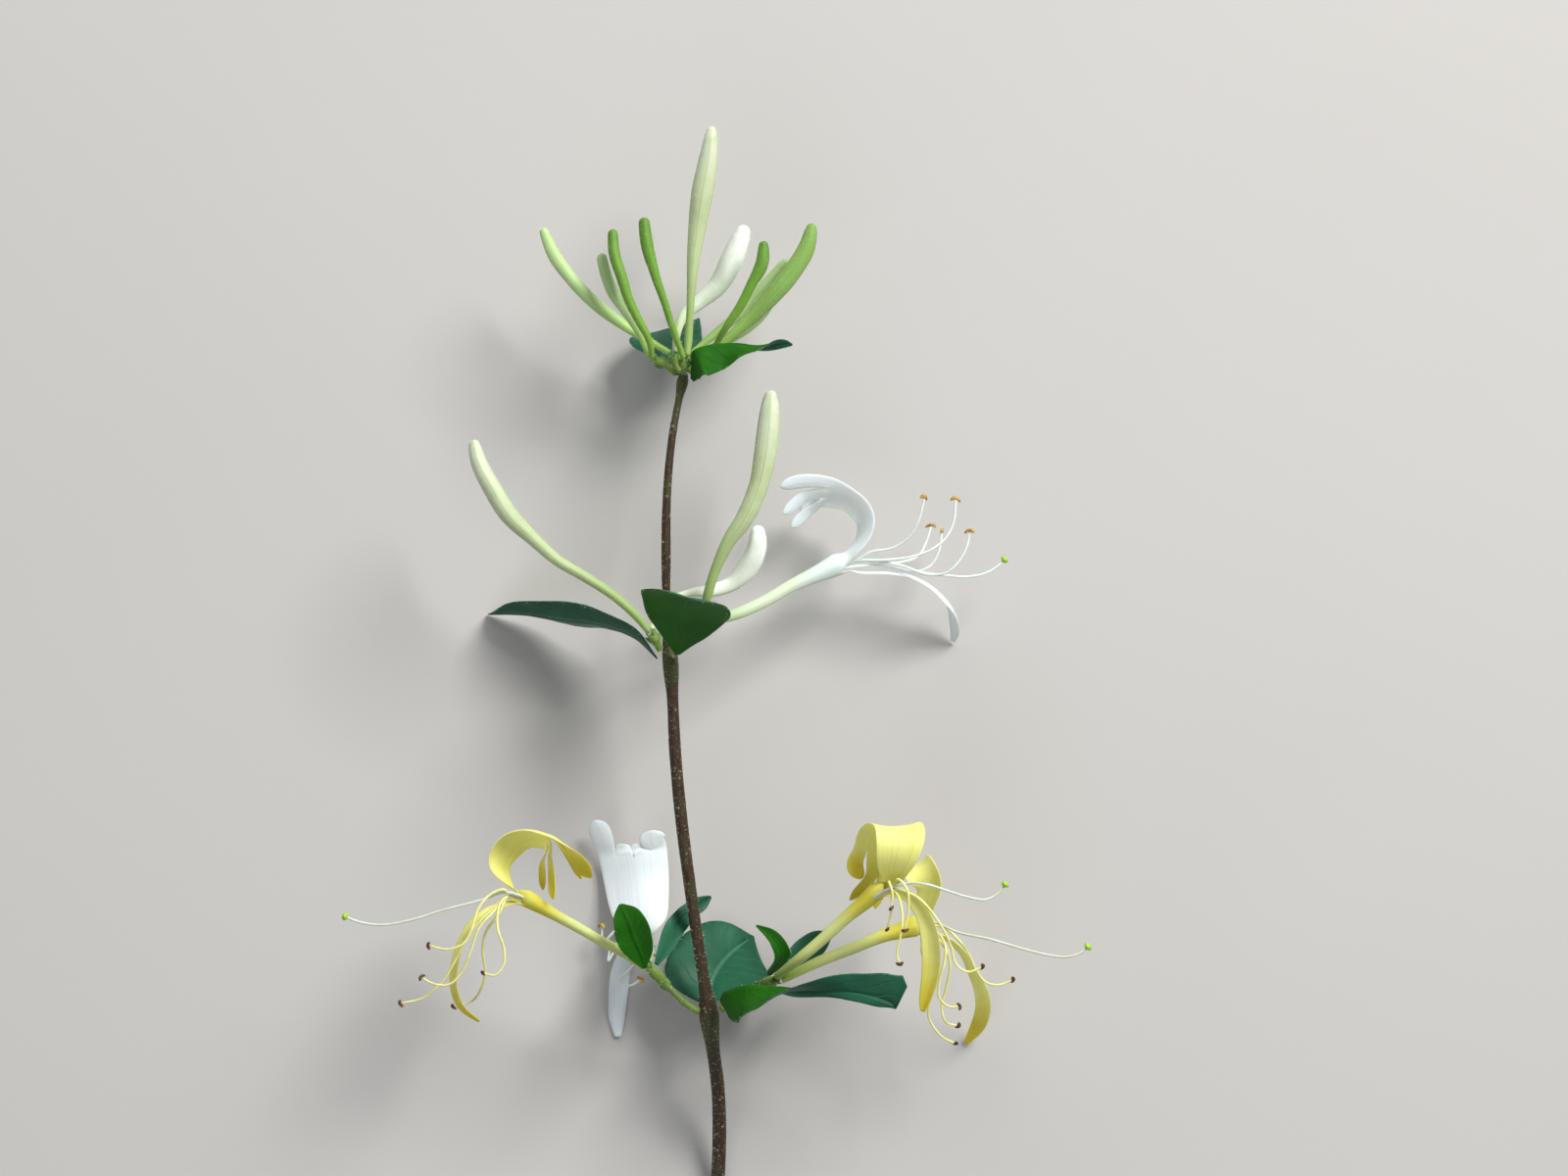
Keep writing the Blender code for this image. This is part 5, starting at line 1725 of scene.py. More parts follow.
BUDS = (
    Bud(
        name="bud_top_far_left",
        tone=BudTone.LIME,
        seat=Seat("stalk_top_back", (-1.0, 0.1, 0.1)),
        knots=(
            (-11.2, 58.9, 15.6, 0.6), (-15.8, 61.7, 15.8, 0.85), (-21.3, 65.8, 18.0, 1.1),
            (-25.4, 70.0, 20.0, 1.1), (-28.3, 74.0, 21.0, 1.15), (-30.4, 78.8, 21.0, 0.75),
        ),
    ),
    Bud(
        name="bud_top_left_behind",
        tone=BudTone.LIME,
        seat=Seat("stalk_top_left", (-0.7, 0.0, -0.7)),
        knots=(
            (-13.4, 60.2, 21.4, 0.6), (-15.9, 64.4, 21.8, 0.9), (-17.9, 67.2, 22.6, 1.0),
            (-19.3, 70.6, 23.0, 1.0), (-20.2, 74.3, 23.0, 0.9),
        ),
    ),
    Bud(
        name="bud_top_left_green",
        tone=BudTone.GREEN,
        seat=Seat("stalk_top_left", (0.1, 0.2, 1.0)),
        knots=(
            (-11.9, 59.5, 25.3, 0.6), (-13.6, 62.7, 26.5, 0.75), (-15.4, 66.5, 27.0, 0.85),
            (-16.5, 70.1, 27.0, 0.95), (-17.7, 73.8, 26.5, 1.0), (-18.1, 78.4, 25.5, 0.85),
        ),
    ),
    Bud(
        name="bud_top_dark_green",
        tone=BudTone.GREEN,
        seat=Seat("stalk_top_front", (-0.5, 0.1, 0.9)),
        knots=(
            (-7.7, 61.3, 27.2, 0.6), (-9.1, 65.7, 28.8, 0.65), (-10.6, 70.1, 29.5, 0.8),
            (-12.1, 75.7, 29.5, 1.1), (-12.7, 80.3, 29.0, 0.95),
        ),
    ),
    Bud(
        name="bud_top_centre",
        tone=BudTone.CREAM,
        seat=Seat("stalk_top_front", (0.5, 0.2, -0.6)),
        knots=(
            (-5.0, 59.7, 22.8, 0.7), (-4.8, 62.6, 22.8, 0.65), (-4.6, 66.8, 23.0, 0.72),
            (-4.1, 73.8, 23.0, 1.15), (-3.4, 79.4, 23.0, 1.6), (-2.6, 84.8, 23.5, 1.9),
            (-1.6, 90.4, 24.0, 1.65), (-1.1, 94.2, 24.4, 1.2), (-1.0, 96.3, 24.5, 0.85),
        ),
    ),
    Bud(
        name="bud_top_white_behind",
        tone=BudTone.WHITE,
        seat=Seat("stalk_top_back", (0.6, 0.6, 0.1)),
        knots=(
            (-7.0, 60.9, 17.0, 0.7), (-6.0, 63.5, 16.5, 0.85), (-3.6, 65.7, 16.0, 1.2),
            (0.1, 69.0, 16.5, 1.7), (2.7, 73.8, 18.0, 1.95), (4.9, 79.3, 19.0, 1.3),
        ),
    ),
    Bud(
        name="bud_top_right_green",
        tone=BudTone.GREEN,
        seat=Seat("stalk_top_right", (0.2, -0.1, 1.0)),
        knots=(
            (1.9, 62.1, 23.6, 0.65), (4.1, 65.3, 24.6, 0.8), (6.0, 69.0, 25.0, 0.9),
            (7.7, 72.3, 25.0, 1.15), (8.1, 76.4, 24.5, 0.85),
        ),
    ),
    Bud(
        name="bud_top_right_large",
        tone=BudTone.LIGHT,
        seat=Seat("stalk_top_right", (0.6, -0.4, -0.8)),
        knots=(
            (5.3, 62.7, 19.8, 1.1), (9.3, 66.8, 20.6, 1.5), (13.0, 71.2, 21.0, 1.6),
            (15.6, 75.7, 21.0, 1.45), (16.5, 79.6, 20.8, 0.95),
        ),
    ),
    Bud(
        name="bud_top_right_pale",
        tone=BudTone.LIME,
        seat=Seat("stalk_top_right_back", (-0.6, 0.6, -0.5)),
        knots=(
            (0.8, 61.7, 12.8, 0.8), (4.5, 64.6, 12.5, 1.0), (7.5, 68.0, 13.0, 1.2),
            (10.4, 71.1, 13.6, 1.2), (12.2, 73.6, 14.0, 0.8),
        ),
    ),
    Bud(
        name="bud_top_right_low",
        tone=BudTone.LIME,
        seat=Seat("stalk_top_right_back", (0.7, -0.3, 0.7)),
        knots=(
            (1.3, 59.3, 15.6, 0.8), (5.1, 61.7, 15.4, 1.0), (7.8, 64.6, 15.8, 1.2),
            (9.8, 67.6, 16.0, 0.8),
        ),
    ),
    Bud(
        name="bud_middle_left",
        tone=BudTone.CREAM,
        seat=Seat("stalk_middle_left", (-0.2, -0.3, 0.9)),
        knots=(
            (-13.8, 11.2, 24.6, 0.7), (-18.1, 15.1, 25.4, 0.8), (-22.8, 18.2, 26.2, 0.9),
            (-27.9, 21.3, 27.0, 1.0), (-31.8, 24.8, 27.5, 1.2), (-36.1, 29.1, 28.0, 1.6),
            (-38.8, 33.4, 28.0, 1.6), (-41.2, 38.1, 27.5, 1.4), (-42.2, 41.9, 27.0, 1.0),
        ),
    ),
    Bud(
        name="bud_middle_white_behind",
        tone=BudTone.WHITE,
        seat=Seat("stalk_middle_left", (0.8, 0.4, -0.7)),
        knots=(
            (-10.3, 11.6, 19.0, 0.7), (-7.7, 14.4, 16.8, 0.65), (-4.6, 15.5, 15.6, 0.7),
            (-1.4, 15.8, 15.0, 1.15), (2.2, 16.9, 14.6, 1.3), (4.9, 19.4, 15.0, 1.85),
            (6.6, 22.5, 16.0, 1.75), (7.1, 27.2, 16.5, 1.3),
        ),
    ),
    Bud(
        name="bud_middle_right",
        tone=BudTone.CREAM,
        seat=Seat("stalk_middle_right", (-0.2, 0.1, 1.0)),
        knots=(
            (-1.8, 14.7, 21.6, 0.8), (-0.2, 19.8, 22.2, 0.9), (1.8, 24.1, 22.4, 1.2),
            (4.9, 28.7, 22.5, 1.6), (7.2, 34.2, 22.5, 1.7), (8.4, 40.1, 22.5, 2.0),
            (9.0, 45.9, 22.5, 1.8), (9.3, 50.6, 22.5, 1.15),
        ),
    ),
)

# The fourth and fifth numbers of a leaf's knots are the widths of its two half blades.
LEAVES = (
    Leaf(
        name="leaf_top_right",
        knots=(
            (-4.5, 52.7, 20.9, 0.9, 0.4), (-4.2, 55.2, 23.4, 3.6, 0.4), (-3.8, 57.4, 25.8, 5.4, 0.5),
            (-1.0, 58.2, 25.9, 5.2, 1.4), (3.0, 58.4, 26.0, 4.0, 1.8), (7.4, 58.0, 26.4, 2.6, 1.6),
            (10.5, 58.6, 26.8, 1.8, 1.3), (13.0, 58.4, 26.4, 0.2, 0.2),
        ),
        first=((0.4, -0.8, 0.4), (0.3, -0.85, 0.35), (0.1, -0.9, 0.4), (0.0, -0.3, 1.0), (0.0, 0.8, 0.6)),
        second=((0.0, 0.3, -1.0), (0.0, 0.2, -1.0), (0.0, -0.1, -1.0), (0.0, -0.9, -0.3)),
        turned=True,
    ),
    Leaf(
        name="leaf_top_back",
        knots=(
            (-7.2, 53.4, 17.6, 0.5, 0.5), (-7.8, 56.2, 13.0, 1.8, 2.4), (-7.6, 58.6, 9.0, 8.0, 4.8),
            (-6.4, 60.8, 5.4, 7.2, 3.9), (-4.8, 62.5, 2.6, 3.8, 2.1), (-3.4, 63.7, 0.45, 0.2, 0.2),
        ),
        first=((-1.0, 0.0, 0.1), (-1.0, -0.1, 0.15), (-1.0, -0.5, 0.0)),
        second=((1.0, 0.0, 0.1), (1.0, 0.0, 0.15), (1.0, 0.0, 0.0)),
        turned=True,
    ),
    Leaf(
        name="leaf_middle_front",
        knots=(
            (-6.9, 4.8, 23.0, 0.5, 0.5), (-6.5, 8.0, 28.0, 4.3, 4.5), (-6.0, 11.2, 33.5, 7.1, 7.6),
            (-5.4, 13.6, 39.0, 7.8, 7.8), (-5.0, 14.6, 44.0, 5.0, 5.0), (-4.8, 14.6, 48.0, 0.2, 0.2),
        ),
        first=((-0.95, 0.3, -0.1), (-0.97, 0.4, 0.0), (-0.97, 0.22, 0.0)),
        second=((0.95, 0.1, 0.1), (0.97, -0.1, 0.0), (0.97, -0.22, 0.0)),
    ),
    Leaf(
        name="leaf_middle_left",
        knots=(
            (-10.6, 4.2, 20.4, 0.5, 0.5), (-14.0, 7.5, 17.4, 3.6, 3.6), (-20.0, 9.8, 14.0, 5.8, 5.6),
            (-27.0, 10.8, 10.2, 6.0, 5.6), (-34.0, 11.8, 5.8, 4.2, 3.8), (-40.4, 11.7, 0.45, 0.2, 0.2),
        ),
        first=((0.1, 0.3, 0.9), (0.1, 0.45, 0.9), (0.1, 0.2, 0.9)),
        second=((-0.1, 0.1, -0.9), (-0.1, -0.1, -0.95), (-0.1, 0.0, -0.9)),
    ),
    Leaf(
        name="leaf_low_front",
        knots=(
            (1.5, -57.2, 16.3, 0.5, 0.4), (0.9, -54.8, 20.4, 4.2, 1.6), (4.4, -53.0, 23.8, 6.4, 3.0),
            (9.8, -53.0, 27.4, 5.2, 3.0), (14.9, -53.2, 30.2, 3.4, 1.6), (19.9, -53.2, 32.0, 3.6, 1.2),
            (24.6, -53.6, 33.0, 3.9, 1.5), (28.6, -54.7, 33.2, 5.2, 1.3), (30.1, -55.4, 33.1, 5.0, 0.7),
            (30.9, -56.1, 33.0, 0.2, 0.2),
        ),
        first=(
            (0.5, -0.8, 0.3), (0.1, -0.9, 0.4), (0.0, -0.6, 0.8), (0.0, 0.4, 0.9), (0.1, 0.9, 0.4),
            (0.1, 0.9, 0.3),
        ),
        second=(
            (0.0, 0.1, -1.0), (0.0, 0.0, -1.0), (0.0, -0.1, -1.0), (-0.1, -0.8, -0.6), (-0.1, -0.9, -0.1),
            (-0.1, -0.9, 0.1),
        ),
        turned=True,
    ),
    Leaf(
        name="leaf_low_back",
        knots=(
            (-1.6, -56.6, 12.9, 0.5, 0.5), (-1.4, -54.1, 10.6, 7.6, 5.5), (-0.5, -51.2, 8.6, 8.8, 9.2),
            (1.3, -48.6, 5.8, 8.0, 9.0), (3.7, -46.5, 3.0, 5.8, 6.8), (6.2, -45.0, 0.45, 0.2, 0.2),
        ),
        first=((-1.0, 0.1, 0.1), (-0.9, 0.4, 0.1), (-0.7, 0.7, 0.1)),
        second=((1.0, 0.0, 0.1), (0.9, -0.3, 0.1), (0.7, -0.7, 0.1)),
        turned=True,
    ),
    Leaf(
        name="bract_left_front",
        knots=(
            (-12.6, -49.4, 26.0, 0.4, 0.4), (-13.3, -46.6, 28.0, 2.3, 2.3),
            (-14.4, -43.8, 29.8, 3.2, 3.2), (-15.3, -41.2, 31.2, 2.8, 3.0),
            (-16.2, -39.3, 31.7, 1.7, 1.9), (-16.7, -38.2, 31.8, 0.3, 0.3),
        ),
        first=((-0.9, -0.3, 0.3), (-0.9, -0.3, 0.4), (-0.9, -0.4, 0.1)),
        second=((0.9, 0.3, 0.2), (0.9, 0.3, 0.3), (0.9, 0.4, 0.1)),
    ),
    Leaf(
        name="bract_left_back",
        knots=(
            (-10.6, -49.0, 21.5, 0.4, 0.4), (-9.0, -46.0, 18.6, 1.5, 1.5), (-7.2, -42.6, 15.6, 1.9, 1.8),
            (-4.6, -39.9, 13.2, 1.6, 1.5), (-2.5, -38.4, 12.1, 1.1, 1.2), (-1.2, -37.6, 11.7, 0.25, 0.25),
        ),
        first=((-0.8, 0.5, 0.3), (-0.8, 0.5, 0.3), (-0.5, 0.8, 0.3)),
        second=((0.8, -0.5, 0.3), (0.8, -0.5, 0.3), (0.5, -0.8, 0.3)),
        turned=True,
    ),
    Leaf(
        name="bract_right_front",
        knots=(
            (9.0, -50.8, 22.3, 0.4, 0.4), (10.0, -49.2, 25.8, 1.2, 1.2), (11.2, -46.8, 28.6, 1.5, 1.5),
            (9.4, -43.6, 30.0, 1.1, 1.1), (6.8, -41.9, 30.5, 0.2, 0.2),
        ),
        first=((-0.9, -0.1, 0.3), (-0.8, -0.4, 0.4), (-0.5, -0.8, 0.3)),
        second=((0.9, 0.1, 0.2), (0.8, 0.4, 0.3), (0.5, 0.8, 0.3)),
    ),
    Leaf(
        name="bract_right_back",
        knots=(
            (10.3, -50.7, 19.9, 0.4, 0.4), (13.0, -48.8, 17.6, 1.9, 1.9), (15.8, -46.6, 15.2, 2.4, 2.4),
            (18.2, -44.9, 13.4, 1.7, 1.7), (20.0, -44.0, 12.2, 0.2, 0.2),
        ),
        first=((-0.6, 0.8, 0.2), (-0.6, 0.8, 0.2), (-0.6, 0.8, 0.1)),
        second=((0.6, -0.8, 0.2), (0.6, -0.8, 0.2), (0.6, -0.8, 0.1)),
        turned=True,
    ),
)

FLOWERS = (
    Flower(
        name="flower_middle",
        tone=PetalTone.WHITE,
        seat=Seat("stalk_middle_right", (0.7, -0.4, -0.5)),
        tube=(
            (2.7, 11.6, 17.6, 0.9), (8.0, 13.9, 16.2, 0.98), (12.9, 16.7, 14.5, 1.05),
            (17.8, 19.0, 13.0, 1.45), (20.6, 20.3, 12.2, 1.9),
        ),
        upper=Lip(
            knots=(
                (21.6, 21.6, 12.0, 1.7), (23.2, 23.0, 12.0, 2.6), (24.9, 25.4, 12.0, 3.5),
                (25.1, 27.9, 12.0, 4.1), (23.8, 30.0, 12.0, 4.3), (21.4, 31.5, 12.0, 4.4),
                (19.2, 32.3, 12.0, 4.3),
            ),
            across=((0.2, -0.2, 1.0), (0.52, 0.08, 0.85), (0.12, 0.62, 0.78)),
            curl=0.3,
        ),
        lobes=(
            Lobe((15.0, 34.9, 15.0), (10.8, 34.0, 15.6), 1.3),
            Lobe((15.4, 32.2, 12.6), (11.4, 29.2, 13.4), 1.25),
            Lobe((17.0, 30.4, 10.6), (12.8, 26.9, 10.8), 1.25),
            Lobe((17.6, 32.0, 7.6), (14.4, 29.4, 6.4), 1.15),
        ),
        lobe_across=(-0.25, 0.85, 0.45),
        lower=Lip(
            knots=(
                (21.9, 19.2, 12.0, 0.8), (24.9, 19.0, 12.0, 0.9), (29.4, 19.0, 12.0, 1.0),
                (33.7, 18.4, 11.5, 1.2), (36.7, 17.0, 10.5, 1.4), (39.3, 14.8, 8.5, 1.5),
                (41.0, 12.6, 6.0, 1.4), (41.7, 9.5, 3.0, 1.2), (41.3, 6.8, 0.45, 0.4),
            ),
            across=((0.0, 0.0, 1.0), (0.1, -0.3, 1.0), (0.85, 0.15, 0.5)),
        ),
        collar=(24.0, 21.0, 12.2),
        threads=(
            (
                (26.2, 22.4, 12.7), (30.8, 23.4, 14.0), (33.4, 25.2, 15.0), (35.0, 28.1, 16.0),
                (36.0, 32.0, 16.5),
            ),
            ((32.4, 20.9, 11.0), (35.0, 21.9, 10.0), (36.6, 24.8, 9.0), (37.3, 27.1, 8.5)),
            (
                (29.2, 21.2, 13.3), (34.0, 21.8, 14.0), (37.6, 23.2, 14.5), (39.9, 25.2, 14.5),
                (41.2, 28.1, 14.5), (41.5, 31.7, 14.5),
            ),
            (
                (31.1, 20.2, 9.8), (35.3, 19.3, 8.5), (37.3, 20.3, 8.0), (38.6, 22.6, 8.0),
                (39.2, 26.1, 8.0),
            ),
            (
                (32.0, 20.2, 13.5), (37.3, 18.6, 15.0), (39.9, 19.0, 16.0), (42.2, 21.2, 16.5),
                (43.5, 23.9, 16.5), (43.9, 26.1, 16.5),
            ),
        ),
        style=(
            (24.9, 20.2, 12.0), (31.1, 19.9, 12.0), (35.6, 19.0, 12.3), (39.9, 18.5, 12.0),
            (43.8, 18.3, 12.0), (47.0, 19.0, 12.0), (49.3, 20.5, 12.0), (50.0, 21.2, 12.0),
        ),
    ),
    Flower(
        name="flower_low_left",
        tone=PetalTone.YELLOW,
        seat=Seat("branchlet_low_left", (-0.7, -0.5, 0.4)),
        tube=(
            (-16.3, -46.8, 25.4, 0.75), (-20.0, -44.8, 26.2, 0.76), (-23.7, -42.6, 27.1, 0.8),
            (-29.2, -39.5, 28.4, 0.98), (-32.7, -37.4, 29.0, 1.45),
        ),
        upper=Lip(
            knots=(
                (-33.9, -36.4, 29.0, 1.4), (-36.4, -34.5, 29.2, 2.4), (-37.8, -31.6, 29.4, 3.2),
                (-37.0, -28.9, 29.8, 3.8), (-34.9, -26.9, 30.0, 4.2), (-32.2, -26.2, 30.0, 4.4),
                (-29.4, -26.8, 30.0, 4.5),
            ),
            across=((-0.6, 0.5, 0.7), (-0.35, 0.45, 0.85), (0.1, 0.3, 1.0)),
            curl=0.3,
        ),
        lobes=(
            Lobe((-26.0, -28.2, 32.5), (-21.6, -33.6, 32.4), 2.0),
            Lobe((-26.4, -29.0, 30.0), (-23.4, -34.0, 29.0), 0.8),
            Lobe((-28.8, -31.0, 28.6), (-28.2, -37.4, 31.6), 1.2),
            Lobe((-30.2, -31.4, 26.4), (-30.2, -36.0, 25.4), 0.9),
        ),
        lobe_across=(0.6, 0.45, 0.65),
        lower=Lip(
            knots=(
                (-34.6, -38.3, 29.0, 0.8), (-36.9, -38.5, 29.5, 0.9), (-39.3, -39.4, 30.0, 0.95),
                (-42.2, -41.7, 30.0, 1.0), (-44.0, -44.9, 29.5, 1.1), (-45.2, -49.1, 28.5, 1.1),
                (-45.4, -52.7, 27.5, 1.0), (-44.2, -56.1, 26.5, 0.9), (-41.1, -58.7, 26.0, 0.4),
            ),
            across=((0.5, -0.4, 0.7), (0.6, 0.3, 0.7), (0.3, 0.5, 0.8)),
        ),
        collar=(-36.0, -36.9, 29.9),
        threads=(
            (
                (-36.6, -35.7, 31.2), (-39.3, -36.7, 31.8), (-41.3, -39.4, 32.7), (-42.1, -42.2, 33.5),
                (-43.6, -44.9, 34.0), (-46.3, -45.9, 34.0), (-49.5, -45.3, 33.5),
            ),
            (
                (-37.4, -38.2, 32.0), (-37.8, -42.2, 33.0), (-36.6, -46.1, 33.5), (-36.8, -48.8, 33.5),
                (-38.3, -50.4, 33.5), (-40.1, -50.0, 33.5),
            ),
            (
                (-38.6, -39.6, 32.4), (-40.9, -42.2, 32.8), (-42.4, -46.1, 32.6), (-44.0, -50.0, 32.0),
                (-46.3, -52.1, 31.6), (-49.5, -51.7, 31.4), (-50.8, -50.9, 31.4),
            ),
            (
                (-37.6, -39.9, 31.3), (-39.8, -42.9, 30.2), (-40.5, -46.4, 28.6), (-40.1, -50.0, 27.2),
                (-40.9, -53.1, 25.4), (-42.8, -55.4, 23.0), (-45.6, -56.2, 22.5),
            ),
            (
                (-38.8, -39.2, 31.5), (-42.6, -43.2, 31.8), (-45.4, -48.4, 31.0), (-47.6, -51.9, 30.2),
                (-51.0, -54.6, 29.4), (-54.5, -55.4, 29.0),
            ),
        ),
        style=(
            (-36.9, -36.2, 30.6), (-40.9, -37.6, 30.4), (-47.1, -39.2, 30.6), (-53.0, -41.0, 31.0),
            (-58.1, -41.8, 31.0), (-62.0, -41.2, 31.0), (-64.1, -40.4, 31.0),
        ),
    ),
    Flower(
        name="flower_low_white",
        tone=PetalTone.WHITE,
        seat=Seat("branchlet_low_left", (0.4, 0.6, -0.7)),
        tube=(
            (-12.1, -47.4, 20.6, 0.85), (-12.3, -46.2, 17.0, 1.1), (-12.9, -45.2, 12.6, 1.5),
            (-13.4, -44.6, 9.2, 1.9),
        ),
        upper=Lip(
            knots=(
                (-13.4, -43.0, 7.8, 3.2), (-13.6, -41.0, 5.6, 4.7), (-14.0, -38.0, 3.6, 5.4),
                (-14.4, -34.4, 2.6, 5.8), (-15.0, -30.2, 2.6, 6.1),
            ),
            across=((-1.0, 0.0, 0.0), (-1.0, 0.0, 0.0), (-1.0, 0.0, 0.0)),
            curl=-0.2,
        ),
        lobes=(
            Lobe((-20.2, -28.2, 3.4), (-21.6, -24.4, 4.8), 1.9),
            Lobe((-16.7, -29.4, 2.7), (-16.7, -28.6, 2.9), 1.3),
            Lobe((-14.1, -29.4, 2.7), (-14.3, -28.5, 2.9), 1.25),
            Lobe((-11.3, -28.4, 3.2), (-11.7, -26.2, 4.2), 2.2),
        ),
        lobe_across=(-1.0, 0.0, 0.0),
        lower=Lip(
            knots=(
                (-15.3, -46.2, 7.6, 0.9), (-16.4, -48.6, 5.0, 1.4), (-17.2, -51.7, 3.0, 1.75),
                (-17.6, -55.9, 1.4, 1.7), (-17.8, -59.3, 0.8, 1.5), (-17.6, -62.6, 0.7, 0.6),
            ),
            across=((-1.0, 0.0, 0.0), (-1.0, -0.1, 0.0), (-1.0, -0.1, 0.0)),
        ),
        collar=(-14.1, -45.0, 7.0),
        threads=(
            ((-17.4, -43.4, 6.2), (-19.6, -45.4, 5.2), (-20.1, -45.9, 4.6), (-20.4, -43.0, 5.4)),
            ((-17.4, -45.6, 6.6), (-18.6, -48.0, 6.4), (-19.2, -49.0, 6.6), (-18.9, -46.6, 7.4)),
            (
                (-13.6, -47.6, 8.0), (-15.6, -50.6, 8.0), (-17.4, -52.4, 7.6), (-15.6, -53.3, 7.6),
                (-13.6, -52.3, 7.8),
            ),
            ((-12.6, -46.6, 6.0), (-12.2, -47.8, 4.8), (-12.3, -48.8, 4.2)),
            ((-12.0, -46.0, 5.2), (-11.0, -46.8, 3.8), (-10.7, -48.0, 3.2)),
        ),
        style=(
            (-12.9, -45.4, 7.2), (-11.2, -46.2, 6.2), (-9.9, -47.2, 5.2), (-9.2, -48.6, 4.4),
            (-8.9, -49.9, 3.9),
        ),
    ),
    Flower(
        name="flower_low_right_upper",
        tone=PetalTone.YELLOW,
        seat=Seat("branchlet_low_right", (0.1, 0.5, 0.8)),
        tube=(
            (15.2, -47.0, 26.7, 0.88), (18.2, -44.4, 27.7, 0.92), (23.2, -39.8, 29.0, 1.08),
            (25.6, -37.8, 29.7, 1.3), (27.4, -36.1, 30.2, 1.6),
        ),
        upper=Lip(
            knots=(
                (29.8, -34.4, 31.6, 1.6), (30.4, -32.2, 34.0, 2.8), (31.1, -29.3, 36.0, 3.8),
                (31.5, -26.7, 36.0, 4.3), (31.3, -24.9, 33.8, 4.5), (30.2, -24.7, 30.8, 4.9),
                (29.1, -26.4, 28.2, 5.2), (28.2, -28.9, 27.0, 5.0),
            ),
            across=((1.0, -0.1, -0.1), (0.95, 0.0, -0.25), (0.9, 0.1, -0.4)),
            curl=-0.15,
        ),
        lobes=(
            Lobe((31.8, -31.4, 24.6), (32.2, -33.8, 23.2), 1.2),
            Lobe((28.9, -33.4, 25.2), (27.3, -39.2, 25.4), 1.1),
            Lobe((26.6, -33.8, 25.9), (22.9, -37.7, 26.2), 1.1),
            Lobe((23.9, -31.8, 27.4), (24.9, -34.0, 28.4), 1.5),
        ),
        lobe_across=(0.9, 0.1, -0.4),
        lower=Lip(
            knots=(
                (29.8, -36.9, 30.6, 0.9), (32.3, -36.3, 31.4, 1.2), (35.0, -38.6, 32.2, 1.6),
                (36.7, -42.8, 32.0, 1.75), (37.1, -47.6, 31.0, 1.7), (36.7, -51.5, 30.0, 1.5),
                (35.8, -55.4, 29.0, 0.9), (35.5, -56.9, 28.5, 0.4),
            ),
            across=((0.3, 0.8, 0.5), (0.9, 0.3, 0.3), (0.9, -0.2, 0.3)),
        ),
        collar=(29.9, -35.7, 32.6),
        threads=(
            ((29.6, -34.2, 34.4), (30.2, -36.2, 35.2), (30.0, -38.6, 34.9)),
            (
                (31.0, -36.4, 34.2), (31.9, -39.8, 35.0), (31.6, -43.7, 34.8), (31.0, -46.8, 34.3),
                (31.4, -48.2, 34.3),
            ),
            ((31.2, -33.8, 34.6), (32.7, -35.5, 35.6), (33.0, -38.6, 35.3), (32.4, -42.4, 34.9)),
            ((30.2, -37.9, 31.2), (29.9, -40.6, 30.4), (29.4, -42.4, 30.2)),
            (
                (34.0, -36.6, 35.3), (38.6, -41.8, 35.4), (40.4, -45.7, 34.5), (41.2, -48.5, 34.0),
                (43.2, -49.8, 33.5), (45.6, -49.0, 33.0),
            ),
        ),
        style=(
            (31.2, -34.9, 33.6), (33.0, -34.5, 34.2), (36.2, -34.7, 35.0), (39.4, -35.7, 35.0),
            (43.3, -36.9, 35.0), (46.4, -37.3, 34.5), (48.8, -35.9, 34.0), (49.6, -34.8, 34.0),
        ),
    ),
    Flower(
        name="flower_low_right_lower",
        tone=PetalTone.YELLOW,
        seat=Seat("branchlet_low_right", (0.3, -0.6, -0.7)),
        tube=(
            (17.9, -48.4, 21.4, 0.85), (23.8, -46.1, 21.0, 0.92), (28.5, -44.2, 20.0, 1.05),
            (31.6, -43.3, 19.5, 1.3), (34.1, -42.5, 19.0, 1.8),
        ),
        upper=Lip(
            knots=(
                (35.1, -40.8, 19.8, 1.6), (36.0, -39.0, 20.6, 2.0), (36.7, -37.0, 21.4, 2.2),
                (36.7, -35.0, 22.2, 2.6), (35.9, -33.4, 22.4, 2.9), (34.7, -32.2, 21.6, 3.0),
                (33.9, -31.8, 19.8, 3.0),
            ),
            across=((0.6, -0.6, 0.4), (0.9, 0.3, 0.3), (0.95, 0.3, 0.1)),
            curl=-0.3,
        ),
        lobes=(
            Lobe((36.2, -32.0, 17.2), (36.4, -33.0, 14.6), 0.8),
            Lobe((34.6, -31.8, 16.8), (34.6, -32.6, 14.0), 0.8),
            Lobe((33.0, -31.9, 16.8), (32.8, -32.6, 14.0), 0.8),
            Lobe((31.4, -32.4, 17.2), (30.8, -33.2, 14.8), 0.8),
        ),
        lobe_across=(0.95, 0.2, 0.1),
        lower=Lip(
            knots=(
                (35.5, -43.6, 18.3, 0.6), (37.4, -43.7, 18.0, 0.6), (40.1, -44.7, 17.3, 0.7),
                (42.5, -46.8, 16.0, 0.9), (44.5, -50.3, 13.5, 1.1), (46.1, -54.2, 10.0, 1.3),
                (46.4, -57.4, 6.5, 1.4), (45.6, -60.5, 3.0, 1.3), (43.4, -63.9, 0.45, 0.4),
            ),
            across=((0.2, 0.5, 0.8), (0.8, 0.4, 0.4), (0.9, -0.3, 0.3)),
        ),
        collar=(36.2, -42.4, 20.2),
        threads=(
            ((37.2, -45.2, 22.4), (36.4, -48.6, 25.0), (35.4, -46.6, 27.0), (35.4, -43.2, 27.6)),
            (
                (36.9, -46.6, 17.4), (37.4, -51.7, 15.6), (36.9, -55.8, 14.4), (36.7, -58.1, 13.7),
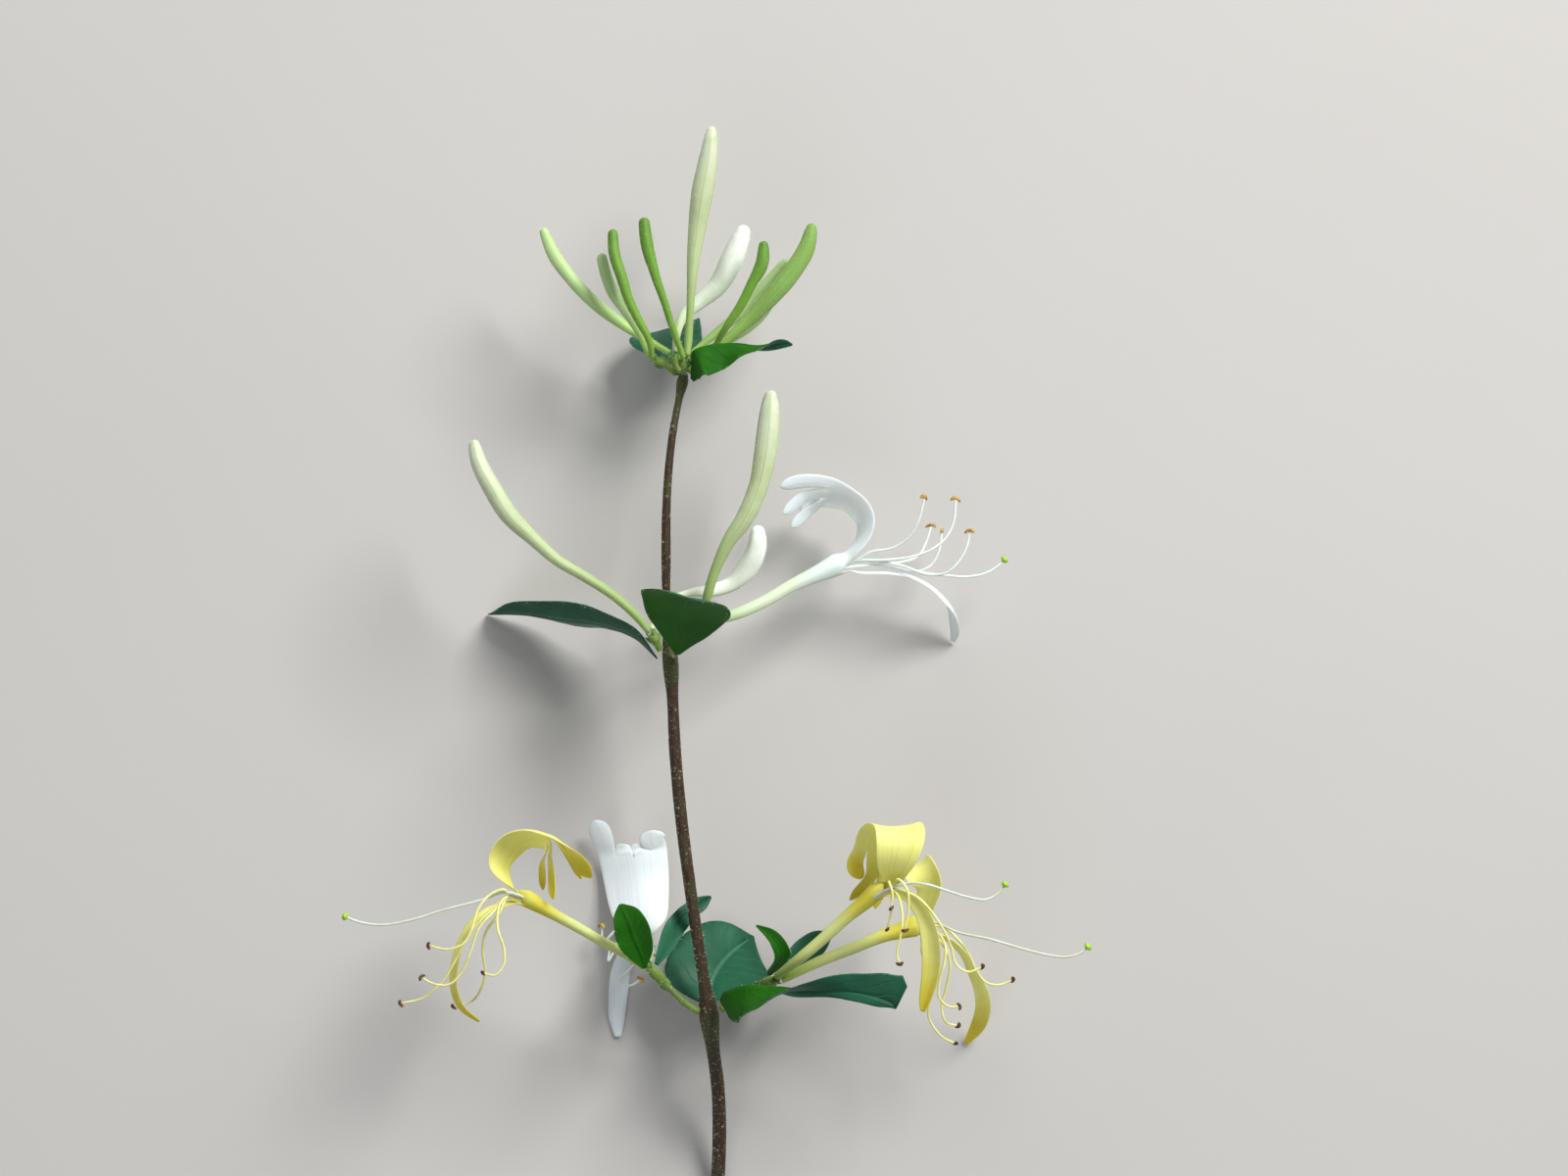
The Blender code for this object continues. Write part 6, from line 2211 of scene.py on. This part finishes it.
                (37.8, -60.5, 13.2), (39.4, -62.2, 12.7), (41.3, -63.1, 12.2),
            ),
            (
                (38.2, -43.4, 21.6), (39.5, -45.7, 22.6), (39.4, -48.5, 23.4), (38.4, -52.3, 23.0),
                (38.6, -55.0, 22.5), (40.6, -56.4, 22.0), (41.8, -56.3, 22.0),
            ),
            (
                (38.4, -44.6, 19.4), (39.8, -46.6, 20.2), (40.4, -49.1, 20.0), (39.8, -53.0, 19.2),
                (39.0, -57.0, 18.4), (39.8, -59.3, 18.0), (41.7, -59.8, 17.7),
            ),
            (
                (38.9, -42.4, 20.6), (41.6, -44.5, 21.4), (43.7, -47.4, 21.2), (44.9, -50.0, 20.2),
                (46.8, -52.3, 19.0), (48.8, -52.7, 18.5), (51.2, -51.9, 18.0),
            ),
        ),
        style=(
            (36.9, -41.5, 21.2), (38.6, -42.0, 22.2), (41.2, -43.2, 23.4), (47.2, -44.5, 24.0),
            (51.9, -45.9, 24.0), (57.0, -47.2, 24.0), (60.5, -47.6, 24.0), (63.1, -46.8, 24.0),
            (64.15, -45.9, 24.0),
        ),
    ),
)

HAIR_ON_STEM = HairCoat(
    "hairs_on_stem", Slot.STEM_BARK, density=2.2, length=0.42, thickness=0.028, lean=0.5, seed=3
)
HAIR_ON_BUDS = HairCoat(
    "hairs_on_buds", Slot.BUD_CREAM, density=3.2, length=0.4, thickness=0.024, lean=0.55, seed=5
)
HAIR_ON_LEAVES = HairCoat(
    "hairs_on_leaves", Slot.LEAF_GREEN, density=5.0, length=0.45, thickness=0.026, lean=0.5, seed=7
)


def declare(obj: bpy.types.Object, slot: Slot, *nodes: str) -> bpy.types.Object:
    """Attaches a finished piece to the one body of the shoot, hides the CAD nodes that it stands for and
    logs its faces.

    Args:
        obj: the piece.
        slot: the slot of its finish; not used.
        *nodes: the CAD nodes that it stands for.

    Returns:
        The piece.
    """
    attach(obj, "root")
    if nodes:
        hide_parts(*nodes)
    LOG.info("%s: %d faces", obj.name, len(obj.data.polygons))
    return obj


def main() -> None:
    """Builds every piece of the shoot, then the studio."""
    logging.basicConfig(level=logging.INFO, format="%(message)s")
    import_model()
    wardrobe = Wardrobe()
    woody = [declare(STEM.build(wardrobe), Slot.STEM_BARK, "main_stem")]
    for stalk in STALKS.values():
        woody.append(declare(stalk.build(wardrobe), Slot.STALK_GREEN, stalk.name))
    buds = [declare(bud.build(wardrobe), bud.slot(), bud.name) for bud in BUDS]
    leaves = [declare(leaf.build(wardrobe), Slot.LEAF_GREEN, leaf.name) for leaf in LEAVES]
    for flower in FLOWERS:
        petals = (f"{flower.name}_tube", f"{flower.name}_upper_lip", f"{flower.name}_lower_lip")
        declare(flower.corolla(wardrobe), flower.slot(), *petals)
        declare(flower.stamens(wardrobe), Slot.FILAMENT_PALE, f"{flower.name}_stamens")
        declare(flower.style_with_stigma(wardrobe), Slot.STYLE_PALE, f"{flower.name}_style")
    for coat, sources in ((HAIR_ON_STEM, woody), (HAIR_ON_BUDS, buds), (HAIR_ON_LEAVES, leaves)):
        declare(coat.build(sources, wardrobe), coat.slot)
    Studio().build(wardrobe)


if __name__ == "__main__":
    main()
